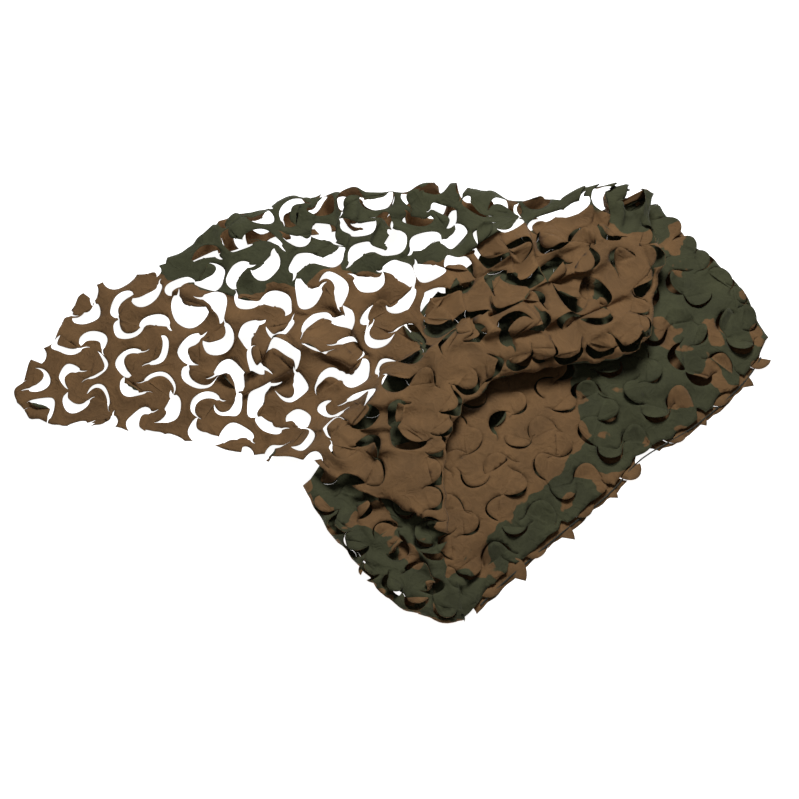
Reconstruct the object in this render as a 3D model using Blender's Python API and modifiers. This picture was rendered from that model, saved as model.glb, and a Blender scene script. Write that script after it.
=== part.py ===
"""Die-cut camouflage net, folded back and forth and laid on a flat surface.

The cloth starts at the open wing on the left, runs over the packet to the first fold, goes back
under itself to the second fold, forward again as the packet's top to the third fold, and returns
underneath, flat on the surface. A thin cord lies along the packet's front hem.

Metres, +Z up, the surface at Z = 0. X runs along the net and Y from its front hem to its rear.
"""

import math
from collections import namedtuple

import bmesh
import bpy
from mathutils import Vector
from mathutils.geometry import delaunay_2d_cdt

Place = namedtuple("Place", "x y")
Crease = namedtuple("Crease", "x0 y0 x1 y1 width rise")
Ripple = namedtuple("Ripple", "length heading height phase")
Cut = namedtuple("Cut", "x y turn gape")
Field = namedtuple("Field", "x y heading gape every")

# Cloth and cord
SHEET = 0.002
CORD_RADIUS = 0.0015
CLEAR = 0.0003

# Crescent cuts: two neighbours along a row face opposite ways
CELL_LONG = 0.060
CELL_WIDE = 0.062
ARC_RADIUS = 0.031
ARC_FROM = math.radians(168)
ARC_TO = math.radians(326)
ARC_STEPS = 5
GAPE_POWER = 0.8
CUT_MARGIN = 0.037
CUT_ROWS = 20

# Heights of the layers, from the surface to the middle of the sheet
FLOOR = SHEET / 2
HEM_HEIGHT = 0.011
PACKET_RISE = 0.026
PACKET_SLOPE = 0.110
LAYER_GAP = 0.023
TOP_GAP = 0.026
WING_RISE = 0.066
WING_START = -0.72
WING_SLOPE = 0.45
PACKET_STEP = 0.130
FOLD_EASE = 0.3
FOLD_EASE_WIDTH = 0.1
WING_RIPPLE_SHARE = 0.35

# Middle of the whole net in plan, which goes to the origin
CENTRE = Place(-0.0094, -0.0048)

# Mesh spacing. The shares say how near a grid point may come to the edge or to a cut
FOLD_SPACING = 0.030
HEM_SPACING = 0.020
OPEN_GRID = 0.052
PACKED_GRID = 0.048
BOTTOM_GRID = 0.090
EDGE_SHARE = 0.4
CUT_SHARE = 0.3
CURVE_STEPS = 16
BEND_STEPS = 5
WELD = 1e-5
TINY = 1e-9

# Lip: the rear edge rolls over its ridge and down to the surface
LIP_LENGTH = 0.115
LIP_END_SHARE = 0.45
LIP_RADIUS = 0.021
LIP_HEIGHT_SHARE = 0.45
LIP_TURN = math.radians(150)
LIP_STEPS = 7

# Leaf-shaped edges of the open hems, each lobe set in by half of its depth
LOBE_PITCH = 0.060
LOBE_DEPTH = 0.011
LOBE_SET_IN = 0.5
UNDER_HEM = 0.012
UNDER_HEM_TAPER = 0.25
CORD_OUT = 0.006

# How many points of the packet's hem the cord and the under layer stop short of its corners
CORD_SHORT = 2
UNDER_SHORT = 2

WING_EDGE = (
    Place(-0.703, -0.014), Place(-0.704, 0.046), Place(-0.653, 0.126),
    Place(-0.583, 0.238), Place(-0.441, 0.272),
)
RIDGE = (
    Place(-0.441, 0.272), Place(-0.330, 0.338), Place(-0.210, 0.388), Place(-0.090, 0.412),
    Place(0.040, 0.420), Place(0.170, 0.408), Place(0.300, 0.390),
)
PEAK_EDGE = (Place(0.300, 0.390), Place(0.385, 0.412), Place(0.450, 0.398))
FOLD_ONE = (
    Place(0.450, 0.398), Place(0.468, 0.300), Place(0.462, 0.190), Place(0.436, 0.110),
    Place(0.385, 0.062), Place(0.325, 0.046), Place(0.262, 0.044), Place(0.190, 0.026),
    Place(0.127, -0.024), Place(0.085, -0.085), Place(0.066, -0.160), Place(0.064, -0.235),
    Place(0.070, -0.313),
)
WING_HEM = (
    Place(0.070, -0.313), Place(0.009, -0.273), Place(-0.053, -0.242), Place(-0.105, -0.213),
    Place(-0.180, -0.160), Place(-0.250, -0.125), Place(-0.337, -0.100), Place(-0.458, -0.072),
    Place(-0.579, -0.054), Place(-0.671, -0.044), Place(-0.703, -0.014),
)
SHORT_HEM = (Place(0.070, -0.313), Place(0.091, -0.379), Place(0.112, -0.445))
FOLD_TWO = (
    Place(0.112, -0.445), Place(0.072, -0.450), Place(0.010, -0.430), Place(-0.045, -0.380),
    Place(-0.095, -0.314), Place(-0.132, -0.257), Place(-0.160, -0.200),
)
PACKET_REAR = (Place(-0.160, -0.200), Place(0.145, 0.105), Place(0.450, 0.398))
PACKET_HEM = (
    Place(0.112, -0.445), Place(0.165, -0.385), Place(0.260, -0.296), Place(0.373, -0.195),
    Place(0.436, -0.123), Place(0.543, -0.050), Place(0.641, 0.046), Place(0.688, 0.128),
)
FOLD_THREE = (
    Place(0.688, 0.128), Place(0.643, 0.196), Place(0.593, 0.259), Place(0.546, 0.321),
    Place(0.486, 0.412),
)
INNER_REAR = (Place(0.486, 0.412), Place(0.150, 0.100), Place(-0.160, -0.200))
UNDER_END = (Place(-0.120, -0.205), Place(-0.045, -0.325), Place(0.105, -0.420))
UNDER_REAR = (Place(0.486, 0.412), Place(0.165, 0.105), Place(-0.120, -0.205))

# Main folds of the top layer, each a soft ridge between two places
CREASES = (
    Crease(-0.330, 0.115, -0.120, 0.060, 0.045, 0.020),
    Crease(-0.250, 0.270, 0.060, 0.250, 0.050, 0.016),
    Crease(-0.060, 0.060, 0.010, -0.220, 0.040, 0.012),
    Crease(0.060, 0.060, 0.280, 0.150, 0.040, 0.018),
    Crease(0.230, 0.090, 0.420, 0.090, 0.045, 0.016),
    Crease(0.200, 0.300, 0.420, 0.270, 0.045, 0.018),
    Crease(0.340, 0.395, 0.435, 0.385, 0.040, 0.030),
    Crease(-0.520, 0.050, -0.380, 0.190, 0.045, 0.012),
)
PACKET_RIPPLES = (Ripple(0.31, 35, 0.0022, 0.4), Ripple(0.19, 120, 0.0016, 1.9))
TOP_RIPPLES = (Ripple(0.21, 20, 0.0045, 0.9), Ripple(0.145, 105, 0.0035, 2.4))

# Rows of cuts in each layer: where a row starts, its heading, how far its cuts gape
WING_CUTS = Field(-0.560, 0.062, 11, 0.014, 1)
UNDER_CUTS = Field(-0.060, -0.260, 40, 0.008, 3)
TOP_CUTS = Field(0.300, -0.120, 42, 0.008, 3)


def smooth(share):
    """Ease from 0 to 1."""
    share = min(max(share, 0.0), 1.0)
    return share * share * (3 - 2 * share)


def run(places, spacing):
    """Even points along a smooth curve through the places."""
    ends = [places[0]] + list(places) + [places[-1]]
    fine = []
    for before, start, end, after in zip(ends, ends[1:], ends[2:], ends[3:]):
        for step in range(CURVE_STEPS):
            fine.append(curve_point(before, start, end, after, step / CURVE_STEPS))
    fine.append(Vector(places[-1]))
    lengths = [0.0]
    for start, end in zip(fine, fine[1:]):
        lengths.append(lengths[-1] + (end - start).length)
    count = max(2, round(lengths[-1] / spacing))
    points = []
    index = 0
    for step in range(count + 1):
        target = lengths[-1] * step / count
        while index < len(fine) - 2 and lengths[index + 1] < target:
            index += 1
        share = (target - lengths[index]) / max(lengths[index + 1] - lengths[index], TINY)
        points.append(fine[index].lerp(fine[index + 1], share))
    return points


def curve_point(before, start, end, after, share):
    """A point between start and end on the curve that also heeds the places around them."""
    p0, p1, p2, p3 = (Vector(place) for place in (before, start, end, after))
    square = share * share
    cube = square * share
    return 0.5 * (
        2 * p1 + (p2 - p0) * share + (2 * p0 - 5 * p1 + 4 * p2 - p3) * square
        + (3 * p1 - p0 - 3 * p2 + p3) * cube
    )


def outward(points, side):
    """Unit directions square to a run of points, to its right for side 1."""
    normals = []
    for index in range(len(points)):
        ahead = points[min(index + 1, len(points) - 1)] - points[max(index - 1, 0)]
        normals.append(Vector((ahead.y, -ahead.x)).normalized() * side)
    return normals


def lobed(points, side):
    """The same run with leaf-shaped lobes, and its ends where they were."""
    normals = outward(points, side)
    result = [points[0]]
    length = 0.0
    for index in range(1, len(points) - 1):
        length += (points[index] - points[index - 1]).length
        swing = math.sin(math.pi * length / LOBE_PITCH)
        result.append(points[index] + normals[index] * LOBE_DEPTH * (abs(swing) - LOBE_SET_IN))
    return result + [points[-1]]


def distance(point, line):
    """Distance in plan from a point to a run of points."""
    gaps = []
    for start, end in zip(line, line[1:]):
        along = end - start
        share = (point - start).dot(along) / max(along.length_squared, TINY)
        nearest = start + along * min(max(share, 0.0), 1.0)
        gaps.append((point - nearest).length)
    return min(gaps)


def ripple(point, ripples):
    """Height of a set of long waves at a point."""
    total = 0.0
    for wave in ripples:
        heading = math.radians(wave.heading)
        along = point.x * math.cos(heading) + point.y * math.sin(heading)
        total += wave.height * math.sin(2 * math.pi * along / wave.length + wave.phase)
    return total


def crease_rise(point):
    """Height that the main folds add at a point of the top layer."""
    total = 0.0
    for crease in CREASES:
        start = Vector((crease.x0, crease.y0))
        end = Vector((crease.x1, crease.y1))
        reach = distance(point, (start, end)) / crease.width
        total += crease.rise * math.exp(-reach * reach)
    return total


class Heights:
    """Height of the sheet's middle in each layer, over every point of the plan."""

    def __init__(self):
        self.packet_hem = run(PACKET_HEM, HEM_SPACING)
        self.wing_hem = run(WING_HEM, HEM_SPACING)
        self.rear = run(WING_EDGE + RIDGE[1:] + PEAK_EDGE[1:], HEM_SPACING)
        corner = Vector(PACKET_REAR[0])
        along = (Vector(PACKET_REAR[-1]) - corner).normalized()
        self.packet_corner = corner
        self.packet_inward = Vector((along.y, -along.x))

    def bottom(self, point):
        """Under layer, flat on the surface."""
        return FLOOR

    def packet(self, point):
        """Top of the packet."""
        reach = distance(point, self.packet_hem) / PACKET_SLOPE
        eased = smooth(reach)
        return HEM_HEIGHT + eased * (PACKET_RISE + ripple(point, PACKET_RIPPLES))

    def middle(self, point):
        """Layer that goes back under the top one."""
        return self.packet(point) + LAYER_GAP

    def top(self, point):
        """Top layer: over the packet, then down to the wing."""
        over = self.middle(point) + TOP_GAP
        front = distance(point, self.wing_hem)
        rear = distance(point, self.rear)
        across = smooth(front / max(front + rear, TINY))
        spread = smooth((point.x - WING_START) / WING_SLOPE)
        wing = FLOOR + WING_RISE * spread * across
        inward = (point - self.packet_corner).dot(self.packet_inward)
        share = smooth(1 + inward / PACKET_STEP)
        ease = min(1.0, FOLD_EASE + front / FOLD_EASE_WIDTH)
        swell = WING_RIPPLE_SHARE + (1 - WING_RIPPLE_SHARE) * spread
        height = wing + (over - wing) * share
        height += ease * (ripple(point, TOP_RIPPLES) * swell + crease_rise(point))
        return max(FLOOR, height)


def crescent(cut):
    """Outline of one crescent cut: out along its outer side, back along its inner side."""
    centre = Vector((0, ARC_RADIUS / 2))
    outer = []
    inner = []
    for step in range(ARC_STEPS + 1):
        share = step / ARC_STEPS
        angle = ARC_FROM + (ARC_TO - ARC_FROM) * share
        ray = Vector((math.cos(angle), math.sin(angle)))
        opening = math.sin(math.pi * share) if 0 < step < ARC_STEPS else 0.0
        half = cut.gape / 2 * opening**GAPE_POWER
        outer.append(centre + ray * (ARC_RADIUS + half))
        inner.append(centre + ray * (ARC_RADIUS - half))
    loop = outer + inner[-2:0:-1]
    turn = Vector((math.cos(cut.turn), math.sin(cut.turn)))
    place = Vector((cut.x, cut.y))
    return [
        place + Vector((p.x * turn.x - p.y * turn.y, p.x * turn.y + p.y * turn.x)) for p in loop
    ]


def inside(point, loop):
    """Whether a point lies within a closed loop."""
    odd = False
    previous = loop[-1]
    for corner in loop:
        if (corner.y > point.y) != (previous.y > point.y):
            crossing = (point.y - corner.y) / (previous.y - corner.y)
            if point.x < corner.x + crossing * (previous.x - corner.x):
                odd = not odd
        previous = corner
    return odd


def cuts_in(loop, field):
    """Crescents in rows over a layer, turned about from one to the next, clear of its edge."""
    heading = math.radians(field.heading)
    along = Vector((math.cos(heading), math.sin(heading))) * CELL_LONG
    across = Vector((-math.sin(heading), math.cos(heading))) * CELL_WIDE
    edge = loop + [loop[0]]
    cuts = []
    for row in range(-CUT_ROWS, CUT_ROWS + 1):
        for column in range(-CUT_ROWS, CUT_ROWS + 1):
            place = Vector((field.x, field.y)) + along * column + across * row
            if (column + 2 * row) % field.every or not inside(place, loop):
                continue
            if distance(place, edge) < CUT_MARGIN:
                continue
            turned = math.pi * ((column + row) % 2)
            cuts.append(Cut(place.x, place.y, heading + turned, field.gape))
    return cuts


def layer(loop, height, grid, cuts):
    """Vertices and triangles of one layer: cut out in plan, then lifted to its height."""
    holes = [crescent(cut) for cut in cuts]
    points = []
    edges = []
    for ring in [loop] + holes:
        first = len(points)
        points += ring
        edges += [(first + i, first + (i + 1) % len(ring)) for i in range(len(ring))]
    fixed = list(points)
    edge = loop + [loop[0]]
    low = Vector((min(p.x for p in loop), min(p.y for p in loop)))
    high = Vector((max(p.x for p in loop), max(p.y for p in loop)))
    rows = math.ceil((high.y - low.y) / grid)
    columns = math.ceil((high.x - low.x) / grid)
    for row in range(rows + 1):
        for column in range(columns + 1):
            spot = low + Vector(((column + 0.5 * (row % 2)) * grid, row * grid))
            if not inside(spot, loop) or distance(spot, edge) < EDGE_SHARE * grid:
                continue
            if any((spot - p).length < CUT_SHARE * grid for p in fixed):
                continue
            if not any(inside(spot, hole) for hole in holes):
                points.append(spot)
    found, _, faces, *_ = delaunay_2d_cdt(points, edges, [], 0, TINY)
    kept = []
    for face in faces:
        middle = (found[face[0]] + found[face[1]] + found[face[2]]) / 3
        if inside(middle, loop) and not any(inside(middle, hole) for hole in holes):
            kept.append(tuple(face))
    return [Vector((p.x, p.y, height(p))) for p in found], kept


def strip(rows):
    """Vertices and quads of a strip, from its rows of points."""
    width = len(rows[0])
    points = [point for row in rows for point in row]
    faces = []
    for row in range(len(rows) - 1):
        for column in range(width - 1):
            corner = row * width + column
            faces.append((corner, corner + 1, corner + width + 1, corner + width))
    return points, faces


def bend(points, normals, upper, lower):
    """A fold: half a turn from the layer above to the layer below."""
    rows = []
    for step in range(BEND_STEPS + 1):
        angle = math.pi * step / BEND_STEPS
        row = []
        for point, normal in zip(points, normals):
            top = upper(point)
            radius = (top - lower(point)) / 2
            spot = point + normal * radius * math.sin(angle)
            row.append(Vector((spot.x, spot.y, top - radius * (1 - math.cos(angle)))))
        rows.append(row)
    return strip(rows)


def lip(points, normals, height):
    """The rear edge: over the ridge, down behind it and forward to the surface."""
    rows = []
    last = len(points) - 1
    for step in range(LIP_STEPS + 1):
        row = []
        for index, (point, normal) in enumerate(zip(points, normals)):
            taper = LIP_END_SHARE + (1 - LIP_END_SHARE) * math.sin(math.pi * index / last)
            travel = LIP_LENGTH * taper * step / LIP_STEPS
            top = height(point)
            radius = min(LIP_RADIUS, LIP_HEIGHT_SHARE * (top - FLOOR))
            turn = min(travel / radius, LIP_TURN)
            rest = travel - turn * radius
            out = radius * math.sin(turn) + rest * math.cos(turn)
            drop = radius * (1 - math.cos(turn)) + rest * math.sin(turn)
            spot = point + normal * out
            row.append(Vector((spot.x, spot.y, max(FLOOR, top - drop))))
        rows.append(row)
    return strip(rows)


def material(name, colour, roughness):
    """A plain finish."""
    finish = bpy.data.materials.new(name)
    finish.use_nodes = True
    shader = finish.node_tree.nodes["Principled BSDF"]
    shader.inputs["Base Color"].default_value = (*colour, 1)
    shader.inputs["Roughness"].default_value = roughness
    return finish


def net_surface(heights):
    """All of the cloth as one open surface."""
    fold_one = run(FOLD_ONE, FOLD_SPACING)
    fold_two = run(FOLD_TWO, FOLD_SPACING)
    fold_three = run(FOLD_THREE, FOLD_SPACING)
    ridge = run(RIDGE, FOLD_SPACING)
    short_hem = run(SHORT_HEM, HEM_SPACING)
    packet_hem = run(PACKET_HEM, FOLD_SPACING)

    wing_edge = lobed(run(WING_EDGE, HEM_SPACING), -1)
    wing_hem = lobed(run(WING_HEM, HEM_SPACING), -1)
    top_loop = wing_edge[:-1] + ridge[:-1] + run(PEAK_EDGE, FOLD_SPACING)[:-1]
    top_loop += fold_one[:-1] + wing_hem[:-1]
    middle_loop = fold_one[:-1] + short_hem[:-1] + fold_two[:-1]
    middle_loop += run(PACKET_REAR, FOLD_SPACING)[:-1]
    packet_loop = fold_two[::-1][:-1] + packet_hem[:-1] + fold_three[:-1]
    packet_loop += run(INNER_REAR, FOLD_SPACING)[:-1]

    back_hem = packet_hem[::-1]
    under_hem = []
    for index, (point, normal) in enumerate(zip(back_hem, outward(back_hem, -1))):
        taper = min(1.0, index / len(back_hem) / UNDER_HEM_TAPER)
        under_hem.append(point + normal * UNDER_HEM * math.sin(math.pi * taper / 2))
    under_loop = fold_three[::-1][:-1] + lobed(under_hem, -1)[:-UNDER_SHORT]
    under_loop += run(UNDER_END, FOLD_SPACING)[::-1][:-1]
    under_loop += run(UNDER_REAR, FOLD_SPACING)[::-1][:-1]

    parts = [
        layer(top_loop, heights.top, OPEN_GRID, cuts_in(top_loop, WING_CUTS)),
        layer(middle_loop, heights.middle, PACKED_GRID, cuts_in(middle_loop, UNDER_CUTS)),
        layer(packet_loop, heights.packet, PACKED_GRID, cuts_in(packet_loop, TOP_CUTS)),
        layer(under_loop, heights.bottom, BOTTOM_GRID, []),
        bend(fold_one, outward(fold_one, -1), heights.top, heights.middle),
        bend(fold_two, outward(fold_two, 1), heights.middle, heights.packet),
        bend(fold_three, outward(fold_three, 1), heights.packet, heights.bottom),
        lip(ridge, outward(ridge, -1), heights.top),
    ]
    points = []
    faces = []
    for part_points, part_faces in parts:
        faces += [tuple(len(points) + corner for corner in face) for face in part_faces]
        points += part_points
    return points, faces


def make_net(heights, home):
    """The cloth, thickened from its open surface."""
    points, faces = net_surface(heights)
    placed = [(point.x - CENTRE.x, point.y - CENTRE.y, point.z) for point in points]
    mesh = bpy.data.meshes.new("net")
    mesh.from_pydata(placed, [], faces)
    draft = bmesh.new()
    draft.from_mesh(mesh)
    bmesh.ops.remove_doubles(draft, verts=draft.verts, dist=WELD)
    loose = [vertex for vertex in draft.verts if not vertex.link_faces]
    bmesh.ops.delete(draft, geom=loose, context="VERTS")
    bmesh.ops.triangulate(draft, faces=draft.faces)
    bmesh.ops.recalc_face_normals(draft, faces=draft.faces)
    draft.to_mesh(mesh)
    draft.free()
    net = bpy.data.objects.new("net", mesh)
    home.objects.link(net)
    net.data.materials.append(material("net_cloth", (0.16, 0.10, 0.055), 0.85))
    thick = net.modifiers.new("sheet", "SOLIDIFY")
    thick.thickness = SHEET
    thick.offset = 0
    return net


def make_cord(home):
    """The cord that lies on the under layer, just outside the packet's hem."""
    hem = run(PACKET_HEM, HEM_SPACING)
    path = [p + n * CORD_OUT for p, n in zip(hem, outward(hem, 1))][CORD_SHORT:-CORD_SHORT]
    level = SHEET + CLEAR + CORD_RADIUS
    line = bpy.data.curves.new("edge_cord", "CURVE")
    line.dimensions = "3D"
    line.bevel_depth = CORD_RADIUS
    line.bevel_resolution = 1
    line.use_fill_caps = True
    spline = line.splines.new("POLY")
    spline.points.add(len(path) - 1)
    for point, spot in zip(spline.points, path):
        point.co = (spot.x - CENTRE.x, spot.y - CENTRE.y, level, 1)
    cord = bpy.data.objects.new("edge_cord", line)
    home.objects.link(cord)
    line.materials.append(material("cord", (0.035, 0.035, 0.025), 0.7))
    return cord


def main():
    for item in list(bpy.data.objects):
        bpy.data.objects.remove(item, do_unlink=True)
    home = bpy.data.collections.new("camouflage_net")
    bpy.context.scene.collection.children.link(home)
    heights = Heights()
    make_net(heights, home)
    make_cord(home)


main()
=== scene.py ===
"""Looks of a die-cut camouflage net that lies folded on a pale surface.

The cloth is one thin sheet. Each ply is cut out flat, with its rows of crescent cuts, and then laid
on the ply's height and rolled over its folds. Metres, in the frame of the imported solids.
"""

import logging
import math
from dataclasses import dataclass, field
from enum import Enum
from typing import NamedTuple

import bmesh
import bpy
import numpy as np
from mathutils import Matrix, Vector, noise
from mathutils.geometry import delaunay_2d_cdt


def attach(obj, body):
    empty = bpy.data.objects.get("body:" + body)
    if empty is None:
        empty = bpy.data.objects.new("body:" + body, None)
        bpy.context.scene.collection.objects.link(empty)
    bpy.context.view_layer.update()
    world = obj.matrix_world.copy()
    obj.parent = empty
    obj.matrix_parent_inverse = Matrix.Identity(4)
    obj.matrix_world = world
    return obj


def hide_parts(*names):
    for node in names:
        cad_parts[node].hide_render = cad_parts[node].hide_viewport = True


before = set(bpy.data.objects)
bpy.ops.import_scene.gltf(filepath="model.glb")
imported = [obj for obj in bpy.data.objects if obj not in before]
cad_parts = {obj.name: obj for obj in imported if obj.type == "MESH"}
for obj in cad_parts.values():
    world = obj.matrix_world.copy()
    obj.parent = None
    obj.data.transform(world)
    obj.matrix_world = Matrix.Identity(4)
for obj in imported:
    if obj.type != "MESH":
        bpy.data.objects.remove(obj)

LOG = logging.getLogger("camouflage_net")
BODY = "root"


class Place(NamedTuple):
    """A place in plan."""

    x: float
    y: float


class Crease(NamedTuple):
    """A soft ridge between two places."""

    x0: float
    y0: float
    x1: float
    y1: float
    width: float
    rise: float


class Wave(NamedTuple):
    """A long wave across a ply."""

    length: float
    heading: float
    height: float
    phase: float


class Zone(NamedTuple):
    """How the cuts open and the cloth crumples around a place."""

    x: float
    y: float
    reach: float
    gape: float
    curl: float
    lap: float
    crumple: float


class Tuck(NamedTuple):
    """Folds that lean over, around a place."""

    x: float
    y: float
    reach_x: float
    reach_y: float
    rise: float
    pitch: float
    heading: float
    lean: float


class Ply(Enum):
    """The four plies, from the top down."""

    TOP = "top"
    MIDDLE = "middle"
    PACKET = "packet"
    UNDER = "under"


# Cloth, as the solids have it
CENTRE = Place(-0.0094, -0.0048)
FLOOR = 0.001
CLOTH = 0.0006
HEM_HEIGHT = 0.011
PACKET_RISE = 0.026
PACKET_SLOPE = 0.110
LAYER_GAP = 0.023
TOP_GAP = 0.026
WING_RISE = 0.066
WING_START = -0.72
WING_SLOPE = 0.45
PACKET_STEP = 0.130
FOLD_EASE = 0.3
FOLD_EASE_WIDTH = 0.1
WING_RIPPLE_SHARE = 0.35
LIP_LENGTH = 0.115
LIP_END_SHARE = 0.45
LIP_RADIUS = 0.021
LIP_HEIGHT_SHARE = 0.45
LIP_TURN = math.radians(150)
FOLD_SPACING = 0.010
HEM_SPACING = 0.020
UNDER_HEM = 0.012
UNDER_HEM_TAPER = 0.25
CORD_OUT = 0.006
CORD_RADIUS = 0.0015

# Crescent cuts
CELL_LONG = 0.058
CELL_WIDE = 0.060
CELL_APART = 0.049
ROW_TILT = 36
ARC_RADIUS = 0.0255
ARC_FROM = 162
ARC_TO = 344
ARC_STEPS = 18
TAIL_STEPS = 5
TAIL_RADIUS = 0.7
TAIL_SWEEP = math.radians(62)
ARC_BOX = 0.070
FOLD_INSET = 0.018
LIP_REACH = 0.034
SEED = 11
FOLD_CUT_STEP = 5
FOLD_CUT_APART = 0.042
FOLD_CUT_NARROW = 0.006
FOLD_CUT_WIDE = 0.010
FOLD_CUT_LAP = 0.004
FOLD_CUT_CURL = 34
FOLD_CUT_CURL_SPREAD = 46
LIP_CURL = 62
LIP_CURL_SPREAD = 58
LIP_SPARE = 1.3
ROLL_SPARE = 2.6
NARROWEST = 0.0004
RAW_SPACING = 0.006
CORD_SHORT = 2
SOLID_SHEET = 0.002
SOLID_CLEAR = 0.0003
DARK_TONE = -0.12
DARK_SHARE = 0.14

WING_EDGE = (
    Place(-0.703, -0.014), Place(-0.704, 0.046), Place(-0.653, 0.126),
    Place(-0.583, 0.238), Place(-0.441, 0.272),
)
RIDGE = (
    Place(-0.441, 0.272), Place(-0.330, 0.338), Place(-0.210, 0.388), Place(-0.090, 0.412),
    Place(0.040, 0.420), Place(0.170, 0.408), Place(0.300, 0.390),
)
PEAK_EDGE = (Place(0.300, 0.390), Place(0.385, 0.412), Place(0.450, 0.398))
FOLD_ONE = (
    Place(0.450, 0.398), Place(0.468, 0.300), Place(0.462, 0.190), Place(0.436, 0.110),
    Place(0.385, 0.062), Place(0.325, 0.046), Place(0.262, 0.044), Place(0.190, 0.026),
    Place(0.127, -0.024), Place(0.085, -0.085), Place(0.066, -0.160), Place(0.064, -0.235),
    Place(0.070, -0.313),
)
WING_HEM = (
    Place(0.070, -0.313), Place(0.009, -0.273), Place(-0.053, -0.242), Place(-0.105, -0.213),
    Place(-0.180, -0.160), Place(-0.250, -0.125), Place(-0.337, -0.100), Place(-0.458, -0.072),
    Place(-0.579, -0.054), Place(-0.671, -0.044), Place(-0.703, -0.014),
)
SHORT_HEM = (Place(0.070, -0.313), Place(0.091, -0.379), Place(0.112, -0.445))
FOLD_TWO = (
    Place(0.112, -0.445), Place(0.072, -0.450), Place(0.010, -0.430), Place(-0.045, -0.380),
    Place(-0.095, -0.314), Place(-0.132, -0.257), Place(-0.160, -0.200),
)
PACKET_REAR = (Place(-0.160, -0.200), Place(0.145, 0.105), Place(0.450, 0.398))
PACKET_HEM = (
    Place(0.112, -0.445), Place(0.165, -0.385), Place(0.260, -0.296), Place(0.373, -0.195),
    Place(0.436, -0.123), Place(0.543, -0.050), Place(0.641, 0.046), Place(0.688, 0.128),
)
FOLD_THREE = (
    Place(0.688, 0.128), Place(0.643, 0.196), Place(0.593, 0.259), Place(0.546, 0.321),
    Place(0.486, 0.412),
)
INNER_REAR = (Place(0.486, 0.412), Place(0.150, 0.100), Place(-0.160, -0.200))
UNDER_END = (Place(-0.120, -0.205), Place(-0.045, -0.325), Place(0.105, -0.420))
UNDER_REAR = (Place(0.486, 0.412), Place(0.165, 0.105), Place(-0.120, -0.205))
GATHER_REAR = (
    Place(-0.160, -0.200), Place(-0.070, -0.060), Place(-0.005, 0.060), Place(0.050, 0.180),
    Place(0.140, 0.270), Place(0.290, 0.350), Place(0.450, 0.398),
)

CREASES = (
    Crease(-0.330, 0.115, -0.120, 0.060, 0.045, 0.020),
    Crease(-0.250, 0.270, 0.060, 0.250, 0.050, 0.016),
    Crease(-0.060, 0.060, 0.010, -0.220, 0.040, 0.012),
    Crease(0.060, 0.060, 0.280, 0.150, 0.040, 0.018),
    Crease(0.230, 0.090, 0.420, 0.090, 0.045, 0.016),
    Crease(0.200, 0.300, 0.420, 0.270, 0.045, 0.018),
    Crease(0.340, 0.395, 0.435, 0.385, 0.040, 0.030),
    Crease(-0.520, 0.050, -0.380, 0.190, 0.045, 0.012),
)
PACKET_WAVES = (Wave(0.31, 35, 0.0022, 0.4), Wave(0.19, 120, 0.0016, 1.9))
TOP_WAVES = (Wave(0.21, 20, 0.0045, 0.9), Wave(0.145, 105, 0.0035, 2.4))

# Zones of each ply: gape in metres, curl in degrees, lap and crumple in metres
ZONES = {
    Ply.TOP: (
        Zone(-0.630, 0.020, 0.10, 0.016, 34, 0.000, 0.0040),
        Zone(-0.520, 0.180, 0.12, 0.030, 46, 0.000, 0.0050),
        Zone(-0.420, 0.000, 0.14, 0.021, 40, 0.000, 0.0055),
        Zone(-0.270, 0.090, 0.13, 0.021, 60, 0.000, 0.0090),
        Zone(-0.200, -0.060, 0.10, 0.020, 50, 0.000, 0.0070),
        Zone(-0.250, 0.300, 0.14, 0.032, 92, 0.000, 0.0120),
        Zone(0.000, 0.350, 0.14, 0.032, 96, 0.000, 0.0130),
        Zone(0.200, 0.370, 0.10, 0.024, 86, 0.002, 0.0120),
        Zone(-0.080, 0.060, 0.10, 0.014, 60, 0.000, 0.0090),
        Zone(-0.050, -0.150, 0.14, 0.010, 62, 0.005, 0.0085),
        Zone(0.010, -0.240, 0.08, 0.008, 52, 0.005, 0.0060),
        Zone(0.100, 0.130, 0.14, 0.018, 80, 0.006, 0.0110),
        Zone(0.330, 0.200, 0.18, 0.021, 84, 0.006, 0.0110),
    ),
    Ply.MIDDLE: (
        Zone(0.080, 0.000, 0.30, 0.0002, 0, 0.000, 0.0010),
        Zone(-0.020, -0.360, 0.12, 0.010, 70, 0.007, 0.0095),
    ),
    Ply.PACKET: (
        Zone(0.190, -0.120, 0.17, 0.0024, 13, 0.001, 0.0018),
        Zone(0.500, 0.150, 0.25, 0.0040, 38, 0.006, 0.0040),
        Zone(0.300, -0.300, 0.17, 0.0036, 32, 0.005, 0.0030),
    ),
    Ply.UNDER: (Zone(0.250, 0.000, 1.00, 0.0016, 2, 0.005, 0.0),),
}
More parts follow.
